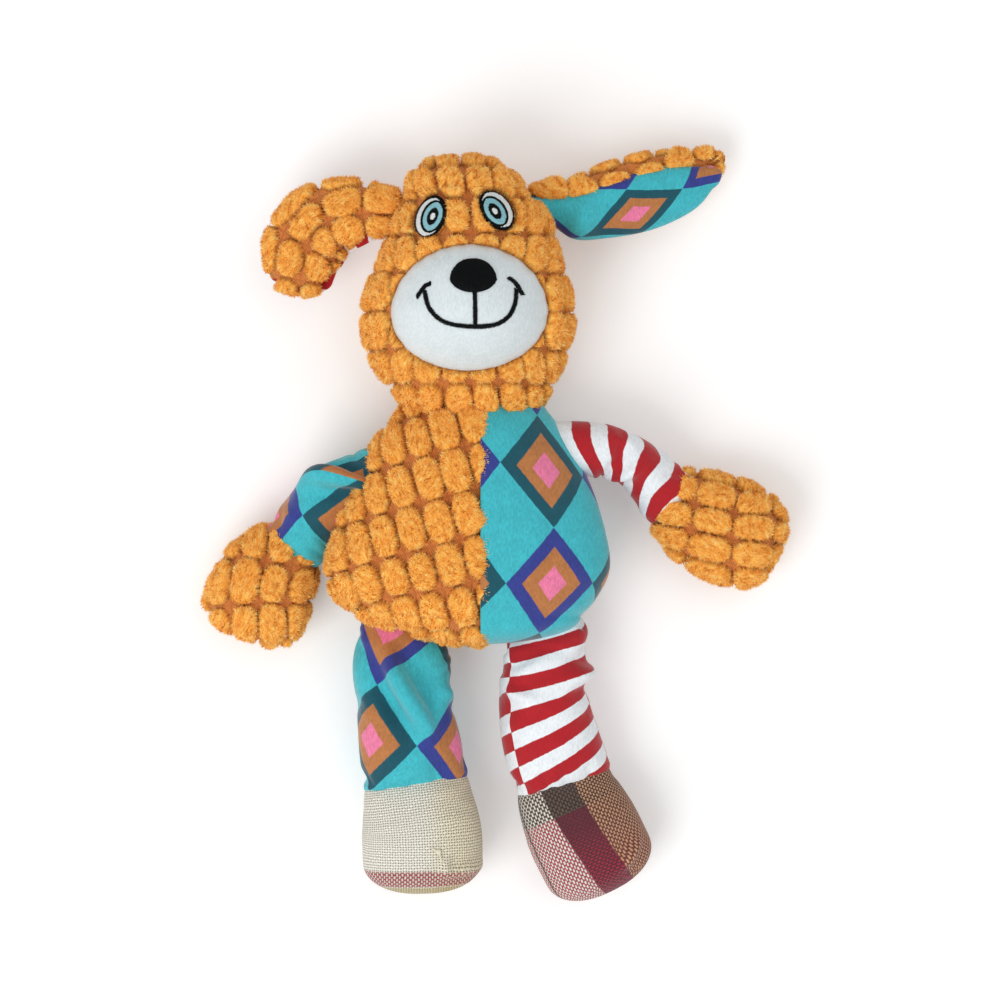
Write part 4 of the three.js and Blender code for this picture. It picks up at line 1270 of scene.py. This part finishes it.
def outlineOf(inside, centre, reach, count):
    # the shape's edge, walked outwards from its middle
    bow = np.linspace(0, 2 * math.pi, count, endpoint=False)
    steps = np.linspace(0, reach, 200)
    edge = []
    for angle in bow:
        x, y = centre[0] + steps * math.cos(angle), centre[1] + steps * math.sin(angle)
        kept = inside(x, y)
        edge.append((x[kept][-1], y[kept][-1]))
    return np.array(edge)


noseBox = tuple(nose["centre"][k % 2] + reach for k, reach in enumerate(nose["box"]))
noseThreads = fillRegion(noseInside, noseBox, nose["pitch"], nose["stitch"], nose["turn"], nose["seed"])
noseOutline = outlineOf(noseInside, nose["centre"], nose["reach"], nose["edge"])
nosePad = domePatch("nose_pad", nose["centre"], noseOutline, lambda x, y: noseHeight(x, y) + nose["padLift"],
                    nose["padStep"], blackThread, nose["rim"])
noseStitch = stitchPoints("nose_threads", noseThreads, noseHeight, nose["lift"], nose["thread"], blackThread)
dress(nosePad, "head", ["nose_embroidery"])
dress(noseStitch, "head")

mouthThreads = np.concatenate([satinLine(mouth[key], mouth["line"], mouth["pitch"], mouth["slant"], seed)
                               for seed, key in enumerate(("smile", "drop", "rightTick", "leftTick"))])
mouthStitch = stitchPoints("mouth_threads", mouthThreads, muzzleFront, mouth["lift"], mouth["thread"],
                           blackThread)
dress(mouthStitch, "head", ["mouth_embroidery"])


def eyeHeight(eye, lift):
    def height(x, y):
        reach = np.clip(eyeReach(eye, x, y), 0, 1.2)
        return headFront(x, y) + 1.2 + lift * np.sqrt(np.clip(1 - 0.6 * reach ** 2, 0, 1))
    return height


eyeLayers = dict(white=(5.4, 8.1), ring=(4.7, 7.1), iris=(3.8, 6.1), pupil=(2.1, 3.7), glint=(0.95, 1.5))
eyeStitch = dict(pitch=0.4, length=3.2, thread=0.52, dome=3.2, box=11, lean=4, seed=9, edge=72, padStep=0.8,
                 rim=3.0)


def buildEye(name, eye):
    height = eyeHeight(eye, eyeStitch["dome"])
    ovals = {}
    for label, (wide, long) in eyeLayers.items():
        moved = eye["whiteShift"] if label == "white" else eye["inward"]
        ovals[label] = dict(eye, at=(eye["at"][0] + moved[0], eye["at"][1] + moved[1]), wide=wide, long=long)

    def within(label):
        return lambda x, y: eyeReach(ovals[label], x, y) < 1

    def both(a, b):
        return lambda x, y: within(a)(x, y) & ~within(b)(x, y)

    def outline(x, y):
        whole = (eyeReach(eye, x, y) < 1) & ~within("white")(x, y)
        return whole | both("ring", "iris")(x, y)

    oval = ovalOutline(eye["at"], eye["wide"], eye["long"], eye["long"], eye["tilt"], eyeStitch["edge"])
    pad = domePatch(name + "_eye_pad", eye["at"], oval, height, eyeStitch["padStep"], blackThread,
                    eyeStitch["rim"])
    dress(pad, "head", [name + "_eye_outline"])
    box = tuple(at + sign * eyeStitch["box"] for sign in (-1, 1) for at in eye["at"])
    looks = (("outline_threads", outline, blackThread, "black_thread", None, 0.25),
             ("white_threads", both("white", "ring"), whiteThread, "white_thread", "_eye_white", 0.25),
             ("iris_threads", both("iris", "pupil"), blueThread, "blue_thread", "_eye_iris", 0.25),
             ("pupil_threads", both("pupil", "glint"), blackThread, "black_thread", "_eye_pupil", 0.3),
             ("glint_threads", within("glint"), whiteThread, "white_thread", None, 0.5))
    for label, inside, thread, slot, node, lift in looks:
        threads = fillRegion(inside, box, eyeStitch["pitch"], eyeStitch["length"],
                             eye["tilt"] + eyeStitch["lean"], eyeStitch["seed"])
        piece = stitchPoints(name + "_eye_" + label, threads, height, lift, eyeStitch["thread"], thread)
        dress(piece, "head", [name + node] if node else ())


for side, eye in eyes.items():
    buildEye(side, eye)
print("face embroidered")


# ears

ears = dict(
    right=dict(rows=[(-25, 150.5, 33, 8.5, 4.5), (-39.9, 151.1, 31, 12.5, 6), (-52.5, 149.4, 28.5, 15.5, 6.5),
                     (-62, 145, 26, 17.5, 6.5), (-68.3, 136, 23.5, 17.5, 6.5), (-70.3, 126, 21.5, 15, 6)],
               plushUp=True, toward=(-1, 0, 0), plushGrow=-3.2, plushShift=(0, 0, 1.5),
               liningGrow=-1.4, liningShift=(1.0, -1.8, -1.5), wrap=1.6, dip=0.0,
               slot="stripe_print", printAt=dict(at=(0, 0), turn=0, cell=(13.4, 13.4)), folds=[]),
    left=dict(rows=[(25, 156, 33, 6, 4.5, 14), (37.8, 154.4, 31, 11.5, 6, 22),
                    (50.4, 153.6, 28, 14.5, 6.5, 24), (63, 156.5, 25, 16.5, 6.5, 24),
                    (77.7, 160.7, 21, 17, 6.5, 22), (92.4, 165.8, 17, 14.5, 6, 18),
                    (102, 170.5, 14.5, 9.5, 5, 14)],
              plushUp=False, toward=(1, 0, 0), plushGrow=-5.0, plushShift=(-1, 1.0, 0),
              liningGrow=-4.3, liningShift=(0.5, -4.3, 1.2), wrap=3.2, dip=2.0,
              slot="argyle_print", printAt=dict(at=(-2.0, 48.8), turn=10, cell=(23, 46)),
              folds=[dict(at=(1, 26), turn=0, long=9, wide=5.5, deep=-3.8, ridges=(0.2, 0.1))]))
earSizes = dict(tipRound=7, lumpShift=(4, 6), liningStep=1.2)
earLumps = dict(plushLumps, Shear=0.0, Height=3.6, Along=15.5, Across=11.5)


def earLayer(ear, sign, grow, shift, step, dip=0.0):
    # one cloth of the ear: full on its own side, nearly flat where the two meet
    run, ahead = rings(ear["rows"], step, endRound=earSizes["tipRound"])
    run = run.copy()
    walked = np.arange(len(run)) * step
    run[:, :3] += np.array(shift) * np.clip(walked / 20, 0, 1)[:, None]
    run[:, 2] -= dip * np.exp(-((walked - 17) / 8) ** 2)
    run[:, 3] = np.maximum(run[:, 3] + grow, 0.2)
    grid = tube(run, ahead, step, 2.2)[0]
    angles = turnAngles(grid.shape[1])
    level = np.hstack([run[:, :4], np.zeros((len(run), 1)), run[:, 5:]])
    flat = sectionPoints(level, ahead, angles, 2.2)
    share = np.where(np.sin(angles)[None, :] * sign > 0, 0.85, 0.12)
    grid[..., 2] = flat[..., 2] + (grid[..., 2] - flat[..., 2]) * share
    return grid, *clothMap(grid, grid.shape[1] // 2), middleOf(run)


def buildEar(name, ear):
    body = name + "_ear"
    plushSign = 1 if ear["plushUp"] else -1
    crossed = crossing("head", name + "_ear_fold", ear["toward"], 3, 9)
    grid, u, v, middle = earLayer(ear, plushSign, ear["plushGrow"], ear["plushShift"], plushStep)
    base = pieceFrom(name + "_ear_base", grid, u + earSizes["lumpShift"][0], v + earSizes["lumpShift"][1])
    faceOutward(base, middle)
    share = np.clip(plushSign * np.sin(turnAngles(grid.shape[1])) * 3 + ear["wrap"], 0.0, 1)
    setPoints(base, "lumpShare", np.repeat(share[None, :], len(grid), axis=0))
    cover, hairs = plushPieces(base, name + "_ear_plush_cloth", earLumps, 21 + plushSign)
    dress(cover, body, [name + "_ear_plush"], crossed)
    dress(hairs, body, (), crossed)
    grid, u, v, middle = earLayer(ear, -plushSign, ear["liningGrow"], ear["liningShift"],
                                  earSizes["liningStep"], ear["dip"])
    grid = fold(grid, u, v, ear["folds"])
    lining = pieceFrom(name + "_ear_lining_cloth", grid, u, v, printAt=ear["printAt"],
                       material=slotCloth[ear["slot"]])
    faceOutward(lining, middle)
    settle(lining)
    dress(lining, body, [name + "_ear_lining"], crossed)


for side, ear in ears.items():
    buildEar(side, ear)
print("ears made")


# limbs

limbs = dict(
    right_arm=dict(
        rows=[(-30, 44.5, 30, 10.5, 10), (-44, 37.5, 28, 9.8, 12), (-56.5, 29, 24.5, 12, 12),
              (-66.5, 19.5, 20.5, 12.8, 11.5), (-74.5, 8.2, 18, 14, 9)],
        joint="right_shoulder", toward=(-0.8, -0.6, 0), slot="argyle_print", seed=31, slack=0.12, push=1.2,
        printAt=dict(at=(13.1, 44.6), turn=33.5, cell=(38, 44), tuck=dict(at=(-5.5, 38), turn=-55))),
    left_arm=dict(
        rows=[(37, 51, 30, 11.3, 10), (50.5, 50.2, 28.5, 10.6, 12), (63, 48, 25.5, 9.8, 12.5),
              (75.5, 41.3, 21.5, 11, 12), (88.6, 28.4, 18, 13.6, 9.5)],
        joint="left_shoulder", toward=(0.9, -0.4, 0), slot="stripe_print", seed=33, slack=0.06, push=1.0,
        printAt=dict(at=(0, 7.4), turn=19, cell=(12.4, 12.4), drift=(2.2, 30))),
    right_leg=dict(
        rows=[(-26.5, -22, 24, 16, 9), (-26.5, -41.5, 23.5, 20, 13), (-25, -58.5, 22, 20.5, 14),
              (-23, -75, 20.5, 21.5, 13.5), (-20.8, -91.3, 18.5, 22, 11)],
        joint="right_hip", toward=(0, -1, 0), slot="argyle_print", seed=35, slack=0.12, push=1.2,
        printAt=dict(at=(-15.2, 59.5), turn=-13, cell=(38, 43.5))),
    left_leg=dict(
        rows=[(34.4, -22, 24, 14.5, 9), (34.4, -43.8, 23.5, 19, 13), (34.6, -59.3, 22, 19.8, 14),
              (37.6, -75.3, 20.5, 20.4, 13.5), (42.2, -91, 18.5, 20, 11)],
        joint="left_hip", toward=(0, -1, 0), slot="stripe_print", seed=37, slack=0.12, push=1.2,
        printAt=dict(at=(0, 5.3), turn=15, cell=(11.9, 11.9), seams=(-17, 24))))
# folds are made before the cloth run, creases are pressed in after it
folds = dict(
    right_arm=[dict(at=(-5.5, 38), turn=-55, long=13, wide=3.0, deep=-6.0, ridges=(0.28, 0.0))],
    left_arm=[dict(at=(-6, 47), turn=30, long=8, wide=3.4, deep=-2.2)],
    right_leg=[dict(at=(1.5, 43), turn=66, long=16, wide=3.6, deep=-5.5),
               dict(at=(19, 46), turn=25, long=8, wide=2.6, deep=-1.6)],
    left_leg=[dict(at=(17, 36), turn=-8, long=10, wide=3.6, deep=-3.6),
              dict(at=(12, 20), turn=-14, long=8, wide=2.4, deep=-1.6),
              dict(at=(-12, 44), turn=12, long=9, wide=2.4, deep=-2.6)])
creases = dict(
    right_arm=[dict(at=(-5.5, 38), turn=-55, long=12, wide=2.3, deep=-4.6, ridges=(0.25, 0.0))],
    left_arm=[dict(at=(-6, 47), turn=30, long=7, wide=2.6, deep=-1.4)],
    right_leg=[dict(at=(1.5, 44), turn=66, long=16, wide=3.0, deep=-5.4)],
    left_leg=[dict(at=(-8, 33), turn=-30, long=9, wide=2.2, deep=-2.0)])


def limbCross(limb):
    return crossing("torso", limb["joint"], limb["toward"], 4, 14)


def cuffCross(part):
    return crossing(part["parent"], part["joint"], part["toward"], 1, 11)


def pressIn(obj, grid, u, v, creases):
    shaped = fold(readPoints(obj).reshape(grid.shape) / mm, u, v, creases)
    writePoints(obj, shaped.reshape(-1, 3) * mm)
    refine(obj)
    settle(obj)


def buildLimb(name, limb):
    run, ahead = rings(limb["rows"], clothStep, startRound=5)
    grid, u, v = tube(run, ahead, clothStep, 2.1)
    grid = fold(grid, u, v, folds[name] + wrinkles(limb["seed"], 14, 26, (8, v.max() - 5), 0.8))
    sleeve = pieceFrom(name + "_cloth", grid, u, v, printAt=limb["printAt"],
                       material=slotCloth[limb["slot"]])
    faceOutward(sleeve, middleOf(run))
    held = np.zeros(grid.shape[:2])
    held[:6] = held[-2:] = 1
    swell(sleeve, held.ravel(), limb["slack"], limb["push"])
    pressIn(sleeve, grid, u, v, creases[name])
    dress(sleeve, name, [name + "_sleeve"], limbCross(limb))


for name, limb in limbs.items():
    buildLimb(name, limb)
print("sleeves made")


# paws and feet

paws = dict(
    right_paw=dict(rows=[(-74.5, 10.5, 18, 12.5, 8), (-79, 2.5, 18, 16.6, 11), (-85.6, -8.5, 18, 20, 13),
                         (-89.2, -18, 18, 19.2, 12)], joint="right_wrist", toward=(-0.45, -0.9, 0),
                   parent="right_arm", seed=41, turn=20, across=11.6, beside=-74),
    left_paw=dict(rows=[(89, 28, 18, 13, 8), (98.5, 23, 18, 17, 11), (110.8, 16.6, 18, 19, 13),
                        (121.4, 12.6, 18, 17.6, 12)], joint="left_wrist", toward=(0.9, -0.45, 0),
                  parent="left_arm", seed=43, turn=14, across=10.6))
pawSizes = dict(endRound=9.5, lumpShift=(6, 8), lumps=dict(plushLumps, Shear=0.05, Along=17.0, Height=4.0))
feet = dict(
    right_foot=dict(rows=[(-21, -89, 18.5, 21, 10.5), (-20, -97, 18.8, 22.5, 15), (-18.4, -110, 19, 24.6, 18),
                          (-18.0, -123, 18.6, 24.6, 17)], endRound=13, joint="right_ankle",
                    toward=(0, -1, 0), parent="right_leg", slot="plain_weave", seed=51,
                    knot=(-11.0, -117.5)),
    left_foot=dict(rows=[(41.6, -89, 18.5, 19.5, 10.5), (44, -97, 18.8, 21.5, 15),
                         (49.6, -109.5, 19, 23.4, 18), (56, -122.5, 18.6, 23.4, 17)], endRound=13.5,
                   joint="left_ankle", toward=(0.35, -0.93, 0), parent="left_leg", slot="plaid_weave",
                   seed=53))


def buildPaw(name, paw):
    run, ahead = rings(paw["rows"], plushStep, startRound=3, endRound=pawSizes["endRound"])
    grid, u, v = tube(run, ahead, plushStep, 2.2)
    around = grid.shape[1]
    u, groove = sewnBack(u, np.ptp(u, axis=1)[:, None] / 2)
    base = pieceFrom(name + "_base", grid, *turnCloth(u, v, paw["turn"], pawSizes["lumpShift"]))
    share = groove[:, :around] * np.clip(v[:, :around] / 4 - 0.5, 0, 1)
    if "beside" in paw:
        # lower lumps next to the belly
        share *= 1 - 0.45 * np.clip((grid[..., 0] - paw["beside"]) / 6, 0, 1)
    setPoints(base, "lumpShare", share)
    faceOutward(base, middleOf(run))
    cover, hairs = plushPieces(base, name + "_plush_cloth", dict(pawSizes["lumps"], Across=paw["across"]),
                               paw["seed"])
    crossed = cuffCross(paw)
    dress(cover, name, [name + "_cover"], crossed)
    dress(hairs, name, (), crossed)


toeCreases = dict(
    right_foot=[dict(at=(16, 51), turn=-4, long=9, wide=2.0, deep=-4.6, ridges=(0.2, 0.1)),
                dict(at=(8, 48.5), turn=100, long=3.5, wide=1.8, deep=-3.0, ridges=(0.2, 0.2))],
    left_foot=[dict(at=(14, 52), turn=-31, long=7, wide=2.2, deep=-5.0, ridges=(0.15, 0.2))])


def tieKnot(name, foot, cover):
    # the closing thread's knot, standing on the weave with two short tails
    at = np.array(foot["knot"])
    points = readPoints(cover) / mm
    top = points[np.linalg.norm(points[:, :2] - at, axis=1) < 3, 2].max()
    loops = []
    for k in range(7):
        angle = k * math.pi / 7
        way = np.array([math.cos(angle), math.sin(angle)]) * (1.5 if k % 2 else 1.2)
        loops.append([at - way, at + way])
    for tail in ((-3.6, 1.9), (1.6, -4.6)):
        loops.append([at, at + tail])
    knot = stitchPoints(name + "_knot", loops, lambda x, y: np.full(x.shape, top), 0.35, 0.8, creamThread)
    dress(knot, name)


def buildFoot(name, foot):
    run, ahead = rings(foot["rows"], clothStep, startRound=3, endRound=foot["endRound"])
    grid, u, v = tube(run, ahead, clothStep, 2.3)
    grid = fold(grid, u, v, wrinkles(foot["seed"], 8, 24, (6, 40), 0.8))
    cover = pieceFrom(name + "_cloth", grid, u, v, material=slotCloth[foot["slot"]])
    faceOutward(cover, middleOf(run))
    held = np.zeros(grid.shape[:2])
    held[:4] = 1
    swell(cover, held.ravel(), 0.03, 1.0, cap=2.5)
    pressIn(cover, grid, u, v, toeCreases[name])
    dress(cover, name, [name + "_cover"], cuffCross(foot))
    if "knot" in foot:
        tieKnot(name, foot, cover)


for name, paw in paws.items():
    buildPaw(name, paw)
for name, foot in feet.items():
    buildFoot(name, foot)
print("paws and feet made")


# stuffing and squeaker

def stuffing(name, rows, inset, node, body, across, step=2.6, startRound=4.0, endRound=4.0):
    # fibre that follows the inside of a cover
    run, ahead = rings(rows, step, startRound, endRound)
    run = run.copy()
    run[:, 3:5] = np.maximum(run[:, 3:5] - inset, 0.25)
    core = pieceFrom(name + "_core", *tube(run, ahead, step, 2.1))
    faceOutward(core, middleOf(run))
    fill = grown(core, fluff, name, Material=fibreFill)
    drop(core)
    settle(fill)
    dress(fill, body, [node], across)


bulb = dict(radius=21.0, low=18.5, high=42.5, folds=3, foldDepth=2.6, mouth=9, rows=60, sides=64, pocket=1.5)
belly = dict(split=30.5, rows=40, bows=56, step=2.5, bottom=7, top=6, side=7.5, skin=6.5, gap=0.4, lid=0.3,
             room=6)


def torsoFill(name, sign, node):
    # half of the torso's fibre, hollowed round the squeaker
    run = rings(torso["rows"], belly["step"], endRound=torso["bottomRound"])[0]
    run = run[np.argsort(run[:, 1])]
    split = belly["split"]
    angle = np.linspace(0, 2 * math.pi, belly["bows"], endpoint=False)
    low, high = run[0, 1] + belly["bottom"], run[-1, 1] - belly["top"]
    middle, halfLong = (low + high) / 2, (high - low) / 2
    grid = []
    for part in np.linspace(0, 1, belly["rows"]):
        y = middle + halfLong * part * np.sin(angle)
        cx, half, deep = (np.interp(y, run[:, 1], run[:, k]) for k in (0, 3, 4))
        x = cx + (half - belly["side"]) * part * np.cos(angle)
        rise = (deep - belly["skin"]) * np.sqrt(np.clip(1 - part ** 2, 0, 1))
        grid.append(np.stack([x, y, split + sign * (belly["gap"] + rise)], axis=1))
    skin = np.array(grid)
    inner = skin[::-1].copy()
    hollow = np.hypot(inner[..., 0], inner[..., 1]) < bulb["radius"] + bulb["pocket"]
    depth = (bulb["high"] + belly["room"] - split) if sign > 0 else (split - bulb["low"] + bulb["pocket"])
    inner[..., 2] = split + sign * np.where(hollow, depth, belly["lid"])
    full = np.concatenate([skin, inner], axis=0)
    u, v = clothMap(full, belly["bows"] // 2)
    core = pieceFrom(name + "_core", full, u, v)
    faceOutward(core, (0, 20, split + sign * 10))
    fill = grown(core, fluff, name, Material=fibreFill, Depth=0.8)
    drop(core)
    settle(fill)
    pressed(fill, [node])


def buildBulb():
    # moulded bellows turned round its own axis
    heights = np.linspace(0, 1, bulb["rows"])
    wave = np.abs(np.sin(heights * math.pi * bulb["folds"])) ** 0.8
    radius = bulb["radius"] - bulb["foldDepth"] * (1 - wave)
    radius[0] = radius[-1] = bulb["mouth"]
    rise = bulb["low"] + (bulb["high"] - bulb["low"]) * heights
    bow = np.linspace(0, 2 * math.pi, bulb["sides"], endpoint=False)
    grid = np.stack([radius[:, None] * np.cos(bow), radius[:, None] * np.sin(bow),
                     np.repeat(rise[:, None], bulb["sides"], axis=1)], axis=-1)
    u, v = clothMap(grid, bulb["sides"] // 2)
    skin = pieceFrom("squeaker_bellows", grid, u, v, material=bulbVinyl)
    faceOutward(skin, (0, 0, 30))
    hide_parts("squeaker_bulb")
    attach(skin, "torso")
    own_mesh(skin)


torsoFill("torso_fibre_front", 1, "torso_stuffing_front")
torsoFill("torso_fibre_back", -1, "torso_stuffing_back")
buildBulb()
stuffing("head_fibre", head["rows"], 4.5, "head_stuffing", "head", neckCross, startRound=8)
for name, limb in limbs.items():
    stuffing(name + "_fibre", limb["rows"][1:], 4.5, name + "_stuffing", name, limbCross(limb))
for name, part in list(paws.items()) + list(feet.items()):
    stuffing(name + "_fibre", part["rows"][1:], 4.0, name + "_stuffing", name, cuffCross(part))
print("stuffing and squeaker made")


# camera, light and floor

view = dict(centre=(14.7, 29.7), wide=420.0, away=1700.0, atHeight=30.0, sensor=36, clip=10)
lamps = dict(keyLamp=dict(at=(-0.75, -0.8, 1.35), size=1.1, power=15.0),
             fillLamp=dict(at=(0.9, 0.5, 1.5), size=1.8, power=6.0))
room = dict(skySeen=0.45, sky=0.55, half=4.0, paper=0.93, glow=0.18)


def setStage():
    camera = bpy.data.cameras.new("camera")
    camera.sensor_width = view["sensor"]
    camera.lens = view["sensor"] * (view["away"] - view["atHeight"]) / view["wide"]
    camera.clip_end = view["clip"]
    eye = bpy.data.objects.new("camera", camera)
    eye.location = (view["centre"][0] * mm, view["centre"][1] * mm, view["away"] * mm)
    scene.collection.objects.link(eye)
    scene.camera = eye
    for name, lamp in lamps.items():
        light = bpy.data.lights.new(name, "AREA")
        light.size, light.energy = lamp["size"], lamp["power"]
        holder = bpy.data.objects.new(name, light)
        holder.location = lamp["at"]
        holder.rotation_euler = (-Vector(lamp["at"])).to_track_quat("-Z", "Y").to_euler()
        scene.collection.objects.link(holder)
    world = bpy.data.worlds.new("studio")
    scene.world = world
    world.use_nodes = True
    tree = world.node_tree
    back = next(n for n in tree.nodes if n.type == "BACKGROUND")
    path = place(tree, "ShaderNodeLightPath").outputs
    seen = calc(tree, "MAXIMUM", path["Is Camera Ray"],
                calc(tree, "MAXIMUM", path["Is Glossy Ray"], path["Is Transmission Ray"]))
    join(tree, timesPlus(tree, seen, room["skySeen"], room["sky"]), back.inputs["Strength"])
    back.inputs["Color"].default_value = (1, 1, 1, 1)
    side = room["half"]
    mesh = bpy.data.meshes.new("floor")
    mesh.from_pydata([(-side, -side, 0), (side, -side, 0), (side, side, 0), (-side, side, 0)], [],
                     [(0, 1, 2, 3)])
    floorLook, tree, into = newMaterial("floorPaper", Roughness=0.9)
    into["Base Color"].default_value = (room["paper"], room["paper"], room["paper"], 1)
    path = place(tree, "ShaderNodeLightPath").outputs
    into["Emission Color"].default_value = (1, 1, 1, 1)
    join(tree, times(tree, path["Is Camera Ray"], room["glow"]), into["Emission Strength"])
    mesh.materials.append(floorLook)
    ground = bpy.data.objects.new("floor", mesh)
    scene.collection.objects.link(ground)
    scene.view_settings.view_transform = "Standard"


setStage()

insideLooks = dict(squeaker_bulb=bulbVinyl, squeaker_whistle=whistlePlastic, squeaker_reed=reedFilm)
for name, node in frame["nodes"].items():
    look = insideLooks.get(name, fibreFill)
    if hasattr(node, "data") and hasattr(node.data, "materials"):
        node.data.materials.clear()
        node.data.materials.append(look)
